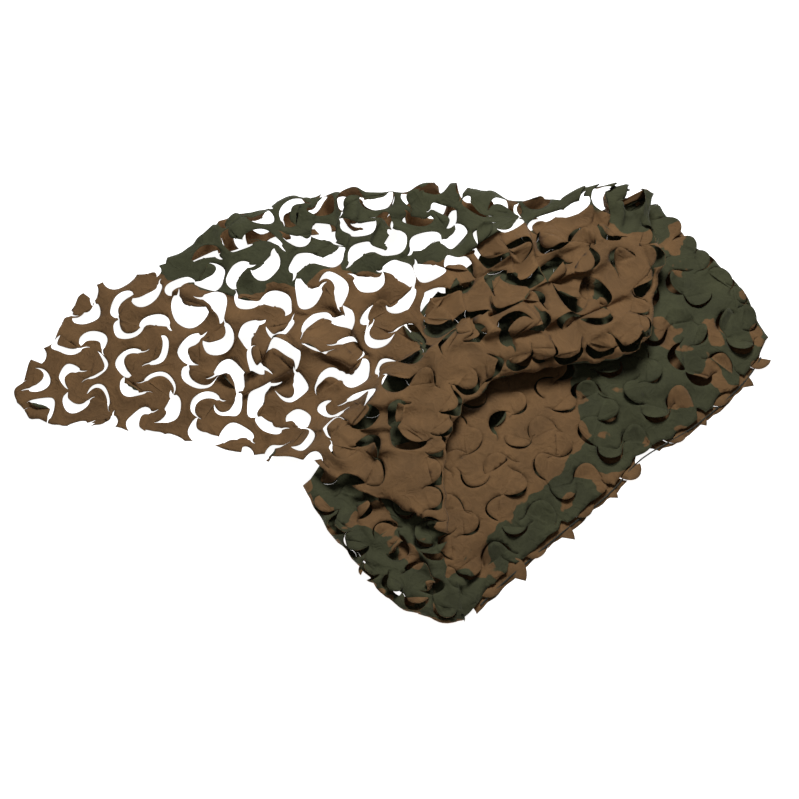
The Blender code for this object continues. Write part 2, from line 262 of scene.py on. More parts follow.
TUCKS = {
    Ply.TOP: (
        Tuck(0.240, 0.180, 0.27, 0.21, 0.0110, 0.068, 22, 1.5),
        Tuck(0.180, 0.200, 0.24, 0.20, 0.0085, 0.056, 108, 1.3),
        Tuck(-0.370, 0.150, 0.12, 0.10, 0.0120, 0.055, -12, 1.1),
        Tuck(-0.250, 0.060, 0.13, 0.09, 0.0160, 0.062, 22, 1.6),
        Tuck(-0.120, 0.120, 0.13, 0.12, 0.0130, 0.058, -35, 1.4),
        Tuck(-0.070, -0.120, 0.17, 0.12, 0.0080, 0.050, -20, 1.3),
        Tuck(-0.120, 0.340, 0.34, 0.10, 0.0080, 0.060, 60, 1.0),
        Tuck(0.390, 0.375, 0.11, 0.08, 0.0120, 0.030, 80, 0.9),
    ),
    Ply.MIDDLE: (
        Tuck(0.050, -0.380, 0.07, 0.10, 0.0070, 0.045, -65, 1.0),
        Tuck(-0.060, -0.310, 0.11, 0.10, 0.0070, 0.050, -40, 1.0),
    ),
    Ply.PACKET: (
        Tuck(0.125, -0.400, 0.06, 0.06, 0.0060, 0.026, 60, 0.8),
        Tuck(0.500, 0.160, 0.20, 0.22, 0.0030, 0.055, 42, 0.8),
    ),
    Ply.UNDER: (),
}
TUCK_SWAY = 1.0
WARPS = {Ply.TOP: 0.011, Ply.MIDDLE: 0.006, Ply.PACKET: 0.005, Ply.UNDER: 0.0}
WARP_SIZE = 0.046
SEAM_EASE = 0.028
FOLD_SWAY = 0.70
FOLD_SWAY_SIZE = 0.026
FRAY = 0.005
FRAY_SIZE = 0.022
BIG_OPENING = 0.15
CALM_CURL = 22
GROWTH = 0.9
GROWTH_LIMIT = 0.0065
TONGUE_LEFT = 0.12
FLIPS = {
    Ply.TOP: (
        Place(-0.672, -0.010), Place(-0.500, 0.000), Place(-0.199, -0.150),
        Place(0.020, 0.110), Place(0.120, 0.210), Place(0.300, 0.150), Place(-0.080, -0.200),
    ),
    Ply.MIDDLE: (Place(-0.020, -0.340), Place(0.060, -0.400)),
    Ply.PACKET: (
        Place(0.175, -0.110), Place(0.420, 0.160),
    ),
}
FLIP_START = 0.42
FLIP_BACK = 0.80
FLIP_RISE = 0.0035
PLY_GAP = 0.0015
GATHER_GAP = 0.016
CEILING_START = 0.106
CEILING = 0.1265


def smooth(share: np.ndarray) -> np.ndarray:
    """Ease from 0 to 1."""
    share = np.clip(share, 0.0, 1.0)
    return share * share * (3 - 2 * share)


def run(places: tuple, spacing: float) -> np.ndarray:
    """Even points along a smooth curve through the places.

    Args:
        places: the places that the curve passes through.
        spacing: the distance between points, about.

    Returns:
        The points, one a row.
    """
    stops = np.array(places, dtype=float)
    ends = np.vstack([stops[:1], stops, stops[-1:]])
    share = (np.arange(16) / 16)[:, None]
    fine = []
    for index in range(len(stops) - 1):
        p0, p1, p2, p3 = ends[index:index + 4]
        fine.append(0.5 * (
            2 * p1 + (p2 - p0) * share + (2 * p0 - 5 * p1 + 4 * p2 - p3) * share**2
            + (3 * p1 - p0 - 3 * p2 + p3) * share**3
        ))
    fine = np.vstack(fine + [stops[-1:]])
    lengths = np.concatenate([[0], np.cumsum(np.linalg.norm(np.diff(fine, axis=0), axis=1))])
    count = max(2, round(lengths[-1] / spacing))
    stations = np.linspace(0, lengths[-1], count + 1)
    return np.column_stack([np.interp(stations, lengths, fine[:, axis]) for axis in (0, 1)])


def outward(points: np.ndarray, side: int) -> np.ndarray:
    """Unit directions square to a run of points, to its right for side 1.

    Args:
        points: the run's points, one a row.
        side: 1 for its right, -1 for its left.

    Returns:
        The directions, one a row.
    """
    ahead = np.vstack([points[1:], points[-1:]]) - np.vstack([points[:1], points[:-1]])
    square = np.column_stack([ahead[:, 1], -ahead[:, 0]]) * side
    return square / np.linalg.norm(square, axis=1)[:, None]


def frayed(line: np.ndarray) -> np.ndarray:
    """A raw edge, a little uneven between its ends."""
    ease = np.minimum(1, 6 * np.sin(math.pi * np.linspace(0, 1, len(line))))
    return line + outward(line, 1) * (FRAY * ease * grain(line, FRAY_SIZE, 4.4))[:, None]


def closed(loop: np.ndarray) -> np.ndarray:
    """A loop with its first point once more at its end."""
    return np.vstack([loop, loop[:1]])


def nearest(points: np.ndarray, line: np.ndarray) -> tuple[np.ndarray, np.ndarray]:
    """Distance from each point to a line, and the place along it that is nearest.

    Args:
        points: the points, one a row.
        line: the line's points, one a row.

    Returns:
        The distances, and each nearest place as an index into the line with its fraction.
    """
    best = np.full(len(points), 1e9)
    where = np.zeros(len(points))
    for index in range(len(line) - 1):
        along = line[index + 1] - line[index]
        square = max(float(along @ along), 1e-12)
        x = points[:, 0] - line[index, 0]
        y = points[:, 1] - line[index, 1]
        share = np.clip((x * along[0] + y * along[1]) / square, 0, 1)
        gap = (x - share * along[0]) ** 2 + (y - share * along[1]) ** 2
        closer = gap < best
        best[closer] = gap[closer]
        where[closer] = index + share[closer]
    return np.sqrt(best), where


def within(points: np.ndarray, loop: np.ndarray) -> np.ndarray:
    """Whether each point lies inside a closed loop.

    Args:
        points: the points, one a row.
        loop: the loop's corners in order.

    Returns:
        True for each point that is inside.
    """
    odd = np.zeros(len(points), dtype=bool)
    x, y = points[:, 0], points[:, 1]
    before = loop[-1]
    for corner in loop:
        if corner[1] != before[1]:
            crosses = (corner[1] > y) != (before[1] > y)
            share = (y[crosses] - corner[1]) / (before[1] - corner[1])
            odd[crosses] ^= x[crosses] < corner[0] + share * (before[0] - corner[0])
        before = corner
    return odd


def area_in(loop: np.ndarray) -> float:
    """Area inside a closed loop."""
    ahead = np.roll(loop, -1, axis=0)
    return abs(float(np.sum(loop[:, 0] * ahead[:, 1] - loop[:, 1] * ahead[:, 0]))) / 2


def grain(points: np.ndarray, size: float, seed: float) -> np.ndarray:
    """Smooth noise at each point, from about -1 to 1, with features of the given size."""
    return np.array([noise.noise(Vector((x / size, y / size, seed))) for x, y in points])


def at(values: np.ndarray, where: np.ndarray) -> np.ndarray:
    """Values along a line, read between its points.

    Args:
        values: the values, one for each point of the line.
        where: places along it, each an index with its fraction.

    Returns:
        The value at each place.
    """
    index = np.minimum(where.astype(int), len(values) - 2)
    share = where - index
    if values.ndim == 2:
        share = share[:, None]
    return values[index] * (1 - share) + values[index + 1] * share


class Heights:
    """Height of the sheet's middle in each ply, over every point of the plan."""

    def __init__(self) -> None:
        """Set out the lines that the heights are measured from."""
        self.packet_hem = run(PACKET_HEM, HEM_SPACING)
        self.wing_hem = run(WING_HEM, HEM_SPACING)
        self.rear = run(WING_EDGE + RIDGE[1:] + PEAK_EDGE[1:], HEM_SPACING)
        self.corner = np.array(PACKET_REAR[0])
        along = np.array(PACKET_REAR[-1]) - self.corner
        along = along / np.linalg.norm(along)
        self.inward = np.array((along[1], -along[0]))

    @staticmethod
    def waves(points: np.ndarray, waves: tuple) -> np.ndarray:
        """Height of a set of long waves at each point.

        Args:
            points: the points, one a row.
            waves: the waves.

        Returns:
            The height at each point.
        """
        total = np.zeros(len(points))
        for wave in waves:
            heading = math.radians(wave.heading)
            along = points[:, 0] * math.cos(heading) + points[:, 1] * math.sin(heading)
            total += wave.height * np.sin(2 * math.pi * along / wave.length + wave.phase)
        return total

    @staticmethod
    def creases(points: np.ndarray) -> np.ndarray:
        """Height that the main folds add at each point of the top ply.

        Args:
            points: the points, one a row.

        Returns:
            The height at each point.
        """
        total = np.zeros(len(points))
        for crease in CREASES:
            line = np.array(((crease.x0, crease.y0), (crease.x1, crease.y1)))
            reach = nearest(points, line)[0] / crease.width
            total += crease.rise * np.exp(-reach * reach)
        return total

    def under(self, points: np.ndarray) -> np.ndarray:
        """Lowest ply, flat on the surface."""
        return np.full(len(points), FLOOR)

    def packet(self, points: np.ndarray) -> np.ndarray:
        """Top of the packet."""
        eased = smooth(nearest(points, self.packet_hem)[0] / PACKET_SLOPE)
        return HEM_HEIGHT + eased * (PACKET_RISE + self.waves(points, PACKET_WAVES))

    def middle(self, points: np.ndarray) -> np.ndarray:
        """Ply that goes back under the top one."""
        return self.packet(points) + LAYER_GAP

    def gathered(self, points: np.ndarray) -> np.ndarray:
        """The middle ply, kept under the top one where that comes down to the wing."""
        below = np.maximum(self.top(points) - GATHER_GAP, FLOOR + PLY_GAP)
        return np.minimum(self.middle(points), below)

    def top(self, points: np.ndarray) -> np.ndarray:
        """Top ply: over the packet, then down to the wing.

        Args:
            points: the points, one a row.

        Returns:
            The height at each point.
        """
        over = self.middle(points) + TOP_GAP
        front = nearest(points, self.wing_hem)[0]
        rear = nearest(points, self.rear)[0]
        across = smooth(front / np.maximum(front + rear, 1e-9))
        spread = smooth((points[:, 0] - WING_START) / WING_SLOPE)
        wing = FLOOR + WING_RISE * spread * across
        share = smooth(1 + (points - self.corner) @ self.inward / PACKET_STEP)
        ease = np.minimum(1.0, FOLD_EASE + front / FOLD_EASE_WIDTH)
        swell = WING_RIPPLE_SHARE + (1 - WING_RIPPLE_SHARE) * spread
        height = wing + (over - wing) * share
        height += ease * (self.waves(points, TOP_WAVES) * swell + self.creases(points))
        return np.maximum(FLOOR, height)


class Roll(Enum):
    """How a ply leaves its plan at a line: down from above, up from below, or as the rear lip."""

    DOWN = 1
    UP = 2
    LIP = 3


@dataclass
class Fold:
    """A line at which a ply rolls over.

    Attributes:
        places: the line in plan.
        side: 1 where the roll is to the line's right, otherwise -1.
        upper: height of the ply above.
        lower: height of the ply below.
        wander: how unevenly it rolls.
    """

    places: tuple
    side: int
    upper: object
    lower: object
    wander: float = FOLD_SWAY
    points: np.ndarray = field(init=False)
    normals: np.ndarray = field(init=False)
    radii: np.ndarray = field(init=False)
    sway: np.ndarray = field(init=False)

    def __post_init__(self) -> None:
        """Set out the fold's points, and its radius and sway at each."""
        self.points = run(self.places, FOLD_SPACING)
        self.normals = outward(self.points, self.side)
        self.radii = (self.upper(self.points) - self.lower(self.points)) / 2
        self.sway = 1 + self.wander * (0.2 + 1.4 * grain(self.points, FOLD_SWAY_SIZE, 2.6))

    def seam(self) -> np.ndarray:
        """Places of the outermost line, where the two plies meet."""
        flat = self.points + self.normals * (self.radii * self.sway)[:, None]
        return np.column_stack([flat, self.upper(self.points) - self.radii])

    def spread(self) -> np.ndarray:
        """The outermost line as the flat ply has it."""
        return self.points + self.normals * (self.radii * math.pi / 2)[:, None]


@dataclass
class Edge:
    """A fold as one of its plies sees it."""

    fold: Fold
    roll: Roll

    def reach(self) -> float:
        """How far the ply goes on past the line.

        Returns:
            The distance.
        """
        if self.roll is Roll.LIP:
            return LIP_LENGTH * LIP_SPARE
        return float(self.fold.radii.max()) * ROLL_SPARE

    def place(self, gap: np.ndarray, where: np.ndarray) -> tuple[np.ndarray, np.ndarray]:
        """Lay points that are past the line.

        Args:
            gap: how far past the line each point is.
            where: the nearest place along the line.

        Returns:
            The points in space, and the upper side's direction at each.
        """
        base = at(self.fold.points, where)
        out = at(self.fold.normals, where)
        out = out / np.linalg.norm(out, axis=1)[:, None]
        top = self.fold.upper(base)
        if self.roll is Roll.LIP:
            radius = np.minimum(LIP_RADIUS, LIP_HEIGHT_SHARE * (top - FLOOR))
            turn = np.minimum(gap / radius, LIP_TURN)
        else:
            radius = (top - self.fold.lower(base)) / 2
            turn = gap / radius
        rest = gap - turn * radius
        sway = 1.0 if self.roll is Roll.LIP else at(self.fold.sway, where)
        flat = base + out * (sway * radius * np.sin(turn) + rest * np.cos(turn))[:, None]
        drop = radius * (1 - np.cos(turn)) + rest * np.sin(turn)
        if self.roll is Roll.UP:
            height = top - 2 * radius + drop
            up = np.column_stack([-out * np.sin(turn)[:, None], np.cos(turn)])
        else:
            height = top - drop
            up = np.column_stack([out * np.sin(turn)[:, None], np.cos(turn)])
        return np.column_stack([flat, height]), up


@dataclass
class Cut:
    """One crescent cut, and how its tongue lies.

    Attributes:
        place: its place in the flat ply.
        turn: the way that it faces.
        radius: the radius of its arc.
        start: the angle at which the arc starts.
        stop: the angle at which it stops.
        gape: how far it stands open.
        skew: 1 where it stands open most at its middle, otherwise nearer to one end.
        curl: the angle that the tongue bends up by, or down where it is less than 0.
        lap: how far the tongue is pushed over the rim.
        twist: how much one side of the tongue stands above the other.
        rim: how far the cloth around the tongue rises.
        stiff: 1 where the tongue keeps straight beyond a fold.
        tone: added to the print of the tongue.
        rooted: True where the tongue's root is in the ply.
        flipped: True where the tongue is folded right back.
        hand: 1, or -1 where the cut is a mirror image.
    """

    place: np.ndarray
    turn: float
    radius: float
    start: float
    stop: float
    gape: float
    skew: float
    curl: float
    lap: float
    twist: float
    rim: float
    stiff: float = 0.0
    tone: float = 0.0
    rooted: bool = True
    flipped: bool = False
    hand: int = 1

    def spin(self, local: np.ndarray) -> np.ndarray:
        """Turn local places into the ply."""
        cos, sin = math.cos(self.turn), math.sin(self.turn)
        return self.place + (local * (self.hand, 1)) @ np.array(((cos, sin), (-sin, cos)))

    def centre(self) -> np.ndarray:
        """Middle of the arc."""
        return self.spin(np.array(((0.0, self.radius / 2),)))[0]

    def ends(self) -> np.ndarray:
        """The two ends of the arc, between which the tongue has its root.

        Returns:
            The two ends, one a row.
        """
        angles = np.array((self.start, self.stop))
        rays = np.column_stack([np.cos(angles), np.sin(angles)])
        return self.spin(rays * self.radius + (0, self.radius / 2))

    def outline(self) -> np.ndarray:
        """Outline of the crescent: out along its outer side, back along its inner side.

        Returns:
            The outline's points, one a row.
        """
        angles = np.linspace(self.start, self.stop, ARC_STEPS + 1)
        rays = np.column_stack([np.cos(angles), np.sin(angles)])
        bend = TAIL_RADIUS * self.radius
        sweep = math.pi + self.stop - TAIL_SWEEP * np.linspace(0, 1, TAIL_STEPS + 1)[1:]
        back = np.column_stack([np.cos(sweep), np.sin(sweep)])
        tail = rays[-1] * (self.radius + bend) + back * bend

        steps = np.arange(ARC_STEPS + TAIL_STEPS + 1)
        length = np.where(steps <= ARC_STEPS, steps, ARC_STEPS + 0.7 * (steps - ARC_STEPS))
        share = length / length[-1]
        half = self.gape / 2 * np.maximum(np.sin(math.pi * share**self.skew), 0) ** 0.8
        half[[0, -1]] = 0
        growth = np.minimum(GROWTH * half, GROWTH_LIMIT)
        left = np.maximum(self.radius - 2 * half + growth, TONGUE_LEFT * self.radius)
        outer = rays * (self.radius + growth[:ARC_STEPS + 1])[:, None]
        inner = rays * left[:ARC_STEPS + 1, None]
        thin = 0.35 * half[ARC_STEPS + 1:, None]
        outer = np.vstack([outer, tail - back * thin])
        inner = np.vstack([inner, tail + back * thin])
        loop = np.vstack([outer, inner[-2:0:-1]])
        return self.spin(loop + (0, self.radius / 2))

    def measure(self, points: np.ndarray) -> tuple[np.ndarray, ...]:
        """Where points lie by the tongue.

        Args:
            points: the points, one a row.

        Returns:
            The distance from the arc's middle, the depth below the root, the place along the
            root, the tongue's full depth and the direction that it points in.
        """
        first, last = self.ends()
        chord = (last - first) / np.linalg.norm(last - first)
        down = np.array((chord[1], -chord[0])) * self.hand
        centre = self.centre()
        radius = np.linalg.norm(points - centre, axis=1)
        depth = (points - first) @ down
        aside = (points - (first + last) / 2) @ chord
        return radius, depth, aside, self.radius + float((centre - first) @ down), down


@dataclass
class ClothPly:
    """One ply of the cloth, cut out flat and then laid.

    Attributes:
        kind: which ply it is.
        loop: its flat outline.
        core: the part of it that isn't rolled.
        height: height over the plan.
        edges: the folds at which it rolls.
        below: outline and height of each ply under it, from the lowest up.
        uncut: lines that the cuts keep clear of.
        scale: size of its cuts, smaller where the cloth is gathered.
        grid: the mesh's spacing.
        heading: direction of its rows of cuts, in degrees.
        origin: a place that a row passes through.
        face_up: True where the cloth's front is its upper side.
    """

    kind: Ply
    loop: np.ndarray
    core: np.ndarray
    height: object
    edges: list
    below: tuple
    grid: float
    heading: float
    origin: Place
    face_up: bool
    uncut: tuple = ()
    scale: float = 1.0
    cuts: list = field(default_factory=list)

    def blend(self, spot: np.ndarray) -> np.ndarray:
        """Mean gape, curl, lap and crumple around each place.

        Args:
            spot: the places, one a row.

        Returns:
            The four values at each place.
        """
        zones = ZONES[self.kind]
        weights = np.array([
            np.exp(-((spot - (zone.x, zone.y)) ** 2).sum(axis=1) / zone.reach**2) + 1e-6
            for zone in zones
        ])
        values = np.array([(zone.gape, zone.curl, zone.lap, zone.crumple) for zone in zones])
        return (weights.T @ values) / weights.sum(axis=0)[:, None]

    def make_cut(self, place: np.ndarray, turn: float, draw: np.random.RandomState) -> Cut:
        """A cut with its own chance shape, opening, curl and lap.

        Args:
            place: where it goes.
            turn: the way it faces.
            draw: the source of chance.

        Returns:
            The cut.
        """
        gape, curl, lap, crumple = self.blend(place[None, :])[0]
        chance = draw.uniform(-1, 1, 11)
        bend = curl * (1 + 0.8 * chance[1])
        if self.kind is Ply.TOP and chance[3] < -0.3:
            bend = -0.7 * abs(bend)
        if draw.uniform() < BIG_OPENING and curl > CALM_CURL:
            bend = 60 + 80 * abs(chance[1])
            gape = 1.4 * gape + 0.003
        swing = min(22.0, 4 + 4000 * crumple)
        return Cut(
            place=place + 0.0025 * chance[4:6],
            turn=turn + math.radians(swing) * chance[2],
            radius=ARC_RADIUS * self.scale * (1 + 0.11 * chance[6]),
            start=math.radians(ARC_FROM + 16 * chance[7]),
            stop=math.radians(ARC_TO + 16 * chance[8]),
            gape=max(NARROWEST, gape * (1 + 0.80 * chance[0])),
            skew=1.75 ** chance[10],
            curl=math.radians(bend),
            lap=lap * (1 + 0.6 * chance[2]),
            twist=chance[9] * min(0.5, 0.007 * curl),
            rim=chance[7] * 1.3 * crumple,
            hand=-1 if chance[10] * chance[4] > 0 else 1,
        )

    def lay_out_cuts(self, draw: np.random.RandomState) -> None:
        """Place the cuts: a row along each fold, then rows over the rest.

        Args:
            draw: the source of chance.
        """
        seams = [edge.fold.spread() for edge in self.edges if edge.roll is not Roll.LIP]
        seams += self.uncut
        for edge in self.edges:
            if edge.roll is Roll.DOWN:
                self.cut_along(edge, draw)
        heading = math.radians(self.heading)
        steps = self.scale * np.array((
            (math.cos(heading) * CELL_LONG, math.sin(heading) * CELL_LONG),
            (-math.sin(heading) * CELL_WIDE, math.cos(heading) * CELL_WIDE),
        ))
        radius = ARC_RADIUS * self.scale
        cells = np.array([(column, row) for row in range(-22, 23) for column in range(-22, 23)])
        places = np.array(self.origin) + cells @ steps
        near_edge = nearest(places, closed(self.loop))[0] < radius + 0.006
        clear = np.min([nearest(places, seam)[0] for seam in seams], axis=0)
        fits = (within(places, self.loop) | near_edge) & (clear > radius + 0.008)
        if self.kind is Ply.UNDER:
            fits &= near_edge
        apart = CELL_APART * self.scale
        for cell, place in zip(cells[fits], places[fits]):
            if any(np.linalg.norm(place - cut.place) < apart for cut in self.cuts):
                continue
            turned = math.pi * (cell.sum() % 2) + math.radians(ROW_TILT) * (1 - 2 * (cell[1] % 2))
            self.cuts.append(self.make_cut(place, heading + turned, draw))
        roots = np.array([cut.ends().mean(axis=0) for cut in self.cuts])
        spots = np.array([cut.place for cut in self.cuts])
        edge_gap = nearest(spots, closed(self.loop))[0]
        for cut, rooted, gap in zip(self.cuts, within(roots, self.loop), edge_gap):
            cut.rooted = bool(rooted)
            if self.kind is Ply.PACKET and gap < radius and cut.stiff == 0:
                cut.curl = -0.8 * abs(cut.curl)
        for edge in self.edges:
            if edge.roll is Roll.LIP:
                near = nearest(spots, edge.fold.points)[0] < LIP_REACH
                for index in np.flatnonzero(near):
                    self.cuts[index].stiff = 0.85
                    bend = LIP_CURL + LIP_CURL_SPREAD * draw.uniform(-1, 1)
                    self.cuts[index].curl = math.radians(bend)
        for place in FLIPS.get(self.kind, ()):
            index = np.linalg.norm([cut.place - place for cut in self.cuts], axis=1).argmin()
            self.cuts[index].flipped = True
            self.cuts[index].gape = 0.008
            self.cuts[index].stiff = 0.0

    def cut_along(self, edge: Edge, draw: np.random.RandomState) -> None:
        """A row of cuts along a fold, whose tongues stand out from it.

        Args:
            edge: the fold.
            draw: the source of chance.
        """
        line = edge.fold.spread()
        normals = outward(line, edge.fold.side)
        radius = ARC_RADIUS * self.scale
        loose = edge.fold.wander / FOLD_SWAY
        others = [
            other.fold.spread() for other in self.edges
            if other is not edge and other.roll is not Roll.LIP
        ] + list(self.uncut)
        for index in range(4, len(line) - 3, FOLD_CUT_STEP):
            inset = FOLD_INSET * self.scale + 0.005 * draw.uniform(0, 1)
            place = line[index] - normals[index] * inset
            spot = place[None, :]
            if not within(spot, self.loop)[0]:
                continue
            if any(nearest(spot, other)[0][0] < radius + 0.006 for other in others):
                continue
            if any(np.linalg.norm(place - cut.place) < FOLD_CUT_APART for cut in self.cuts):
                continue
            turn = math.atan2(normals[index][1], normals[index][0]) + math.pi / 2
            cut = self.make_cut(place, turn + 0.40 * draw.uniform(-1, 1), draw)
            cut.stiff = 0.9
            bend = FOLD_CUT_CURL + FOLD_CUT_CURL_SPREAD * draw.uniform(-1, 1)
            cut.curl = loose * math.radians(bend)
            cut.gape = min(max(cut.gape, FOLD_CUT_NARROW), FOLD_CUT_WIDE) * loose
            cut.lap = FOLD_CUT_LAP * loose * draw.uniform(0, 1)
            self.cuts.append(cut)

    def lay(self, flat: np.ndarray) -> tuple[np.ndarray, np.ndarray]:
        """Lay flat points on the ply.

        Args:
            flat: the points, one a row.

        Returns:
            The points in space, and the upper side's direction at each.
        """
        spots = np.column_stack([flat, self.height(flat)])
        ups = np.tile((0.0, 0.0, 1.0), (len(flat), 1))
        index = np.flatnonzero(~within(flat, self.core))
        if not len(index):
            return spots, ups
        gaps = np.array([nearest(flat[index], edge.fold.points) for edge in self.edges])
        choice = gaps[:, 0, :].argmin(axis=0)
        for number, edge in enumerate(self.edges):
            gap, where = gaps[number]
            beside = (where > 0) & (where < len(edge.fold.points) - 1)
            mine = (choice == number) & (gap < edge.reach()) & beside
            if mine.any():
                spots[index[mine]], ups[index[mine]] = edge.place(gap[mine], where[mine])
        return spots, ups

    def owners(self, points: np.ndarray) -> np.ndarray:
        """Which cut's tongue each point is in, or -1.

        Args:
            points: the points, one a row.

        Returns:
            For each point the number of its cut, or -1.
        """
        owner = np.full(len(points), -1)
        for number, cut in enumerate(self.cuts):
            near = np.flatnonzero(np.abs(points - cut.place).max(axis=1) < ARC_BOX)
            if len(near):
                radius, depth, _, _, _ = cut.measure(points[near])
                owner[near[(radius < cut.radius - 1e-6) & (depth > 0)]] = number
        return owner

    def kept(self, points: np.ndarray) -> np.ndarray:
        """Whether each point is cloth: leaf-shaped tongues cross the raw edges whole.

        Args:
            points: the points, one a row.

        Returns:
            True for each point that is cloth.
        """
        owner = self.owners(points)
        rooted = np.array([cut.rooted for cut in self.cuts] + [False])
        return np.where(owner >= 0, rooted[owner], within(points, self.loop))

    def seeds(self, outlines: list) -> np.ndarray:
        """Grid points of the ply, clear of its edge and its cuts.

        Args:
            outlines: the outlines of the cuts.

        Returns:
            The grid points, one a row.
        """
        low, high = self.loop.min(axis=0) - ARC_RADIUS, self.loop.max(axis=0) + ARC_RADIUS
        rise = self.grid * math.sqrt(3) / 2
        rows = int((high[1] - low[1]) / rise) + 1
        columns = int((high[0] - low[0]) / self.grid) + 1
        row, column = np.meshgrid(np.arange(rows), np.arange(columns), indexing="ij")
        spots = np.column_stack([
            (low[0] + (column + 0.5 * (row % 2)) * self.grid).ravel(),
            (low[1] + row * rise).ravel(),
        ])
        spots = spots[self.kept(spots)]
        spots = spots[nearest(spots, closed(self.loop))[0] > 0.5 * self.grid]
        keep = np.ones(len(spots), dtype=bool)
        for outline, cut in zip(outlines, self.cuts):
            near = np.flatnonzero(np.abs(spots - cut.place).max(axis=1) < ARC_BOX)
            if len(near):
                gap = nearest(spots[near], closed(outline))[0]
                keep[near[(gap < 0.42 * self.grid) | within(spots[near], outline)]] = False
        return spots[keep]

    def cut_out(self) -> tuple[np.ndarray, list, np.ndarray]:
        """Cut the ply out flat.

        Returns:
            Its points, its triangles, and for each point the loop point it came from, or -1.
        """
        outlines = [cut.outline() for cut in self.cuts]
        rings = [self.loop] + outlines
        starts = np.cumsum([0] + [len(ring) for ring in rings])
        edges = [
            (int(start + i), int(start + (i + 1) % len(ring)))
            for start, ring in zip(starts, rings) for i in range(len(ring))
        ]
        root_end = ARC_STEPS + 2 * TAIL_STEPS
        edges += [(int(start), int(start + root_end)) for start in starts[1:-1]]
        points = np.vstack(rings + [self.seeds(outlines)])
        found, _, faces, source, *_ = delaunay_2d_cdt(
            [Vector(point) for point in points], edges, [], 0, 1e-7
        )
        flat = np.array([tuple(point) for point in found])
        corners = np.array([tuple(face) for face in faces if len(face) == 3])
        middles = flat[corners].mean(axis=1)
        keep = self.kept(middles)
        for outline, cut in zip(outlines, self.cuts):
            near = np.flatnonzero(np.abs(middles - cut.place).max(axis=1) < ARC_BOX)
            if len(near):
                keep[near[within(middles[near], outline)]] = False
        origin = np.full(len(flat), -1)
        for index, came in enumerate(source):
            on_loop = [number for number in came if number < len(self.loop)]
            if on_loop:
                origin[index] = on_loop[0]
        return flat, [tuple(int(i) for i in c) for c in corners[keep]], origin

    def tucked(self, flat: np.ndarray) -> tuple[np.ndarray, np.ndarray]:
        """Leaning folds.

        Args:
            flat: the points, one a row.

        Returns:
            The height that they add, and the plan shift that leans them over.
        """
        rise = np.zeros(len(flat))
        shift = np.zeros_like(flat)
        for number, tuck in enumerate(TUCKS[self.kind]):
            reach = np.hypot(
                (flat[:, 0] - tuck.x) / tuck.reach_x, (flat[:, 1] - tuck.y) / tuck.reach_y
            )
            near = np.flatnonzero(reach < 1)
            if not len(near):
                continue
            spot = flat[near]
            heading = math.radians(tuck.heading)
            side = np.array((-math.sin(heading), math.cos(heading)))
            sway = grain(spot, 2.2 * tuck.pitch, 3.1 + number)
            swell = 0.65 + 0.5 * grain(spot, 1.6 * tuck.pitch, 7.7 + number)
            phase = 2 * math.pi * (spot @ side / tuck.pitch + TUCK_SWAY * sway)
            weight = smooth(1.6 * (1 - reach[near])) * swell
            height = tuck.rise * weight * np.sin(phase)
            rise[near] += height
            shift[near] -= side * (height * tuck.lean)[:, None]
        return rise, shift

    def rest(self, laid: np.ndarray) -> None:
        """Keep laid points above the plies below and under the highest height.

        Args:
            laid: the laid points, which are changed.
        """
        floor = np.full(len(laid), FLOOR)
        for loop, height in self.below:
            over = np.flatnonzero(within(laid[:, :2], loop))
            if len(over):
                floor[over] = height(laid[over, :2]) + PLY_GAP
        laid[:, 2] = np.maximum(laid[:, 2], floor)
        room = CEILING - CEILING_START
        high = laid[:, 2] > CEILING_START
        laid[high, 2] = CEILING_START + room * np.tanh((laid[high, 2] - CEILING_START) / room)

    def shape(self, flat: np.ndarray) -> np.ndarray:
        """Lay the flat points, with each tongue curled and the cloth crumpled.

        Args:
            flat: the flat points, one a row.

        Returns:
            The points in space, one a row.
        """
        moved = flat.copy()
        lift = np.zeros(len(flat))
        root = flat.copy()
        push = np.zeros(len(flat))
        aim = np.zeros_like(flat)
        stiff = np.zeros(len(flat))
        for cut in self.cuts:
            near = np.flatnonzero(np.abs(flat - cut.place).max(axis=1) < ARC_BOX)
            if not len(near):
                continue
            radius, depth, aside, full, down = cut.measure(flat[near])
            tongue = (radius < cut.radius - 1e-6) & (depth > 0)
            mine = near[tongue]
            share = depth[tongue] / full
            curl = cut.curl if abs(cut.curl) > 1e-3 else 1e-3
            push[mine] = full / curl * np.sin(curl * share) + cut.lap * share**2
            raised = full / curl * (1 - np.cos(curl * share)) + 1.2 * cut.lap * share
            if cut.flipped:
                over = np.maximum(share - FLIP_START, 0)
                push[mine] = full * (np.minimum(share, FLIP_START) - FLIP_BACK * over)
                raised = FLIP_RISE * (smooth(over * 6) + 1.5 * over)
            lift[mine] += raised + cut.twist * aside[tongue] * smooth(share * 1.5)
            root[mine] = flat[mine] - down * depth[tongue][:, None]
            aim[mine] = down
            stiff[mine] = cut.stiff
            moved[mine] = root[mine] + down * push[mine][:, None]
            rim = (radius >= cut.radius - 1e-6) & (depth > 0)
            ease = np.exp(-(((radius[rim] - cut.radius) / 0.011) ** 2))
            lift[near[rim]] += (cut.rim - 0.3 * cut.lap) * ease * smooth(depth[rim] / full)
        fade = np.ones(len(flat))
        for edge in self.edges:
            if edge.roll is not Roll.LIP:
                fade *= smooth(nearest(flat, edge.fold.spread())[0] / SEAM_EASE)
        folds = (
            0.9 * grain(flat, 0.085, 1.7) + 0.55 * grain(flat, 0.038, 5.1)
            + 0.6 * (0.4 - np.abs(grain(flat, 0.06, 9.3)))
        )
        rise, shift = self.tucked(flat)
        spots, ups = self.lay(moved)
        lift += fade * (self.blend(flat)[:, 3] * folds + rise)
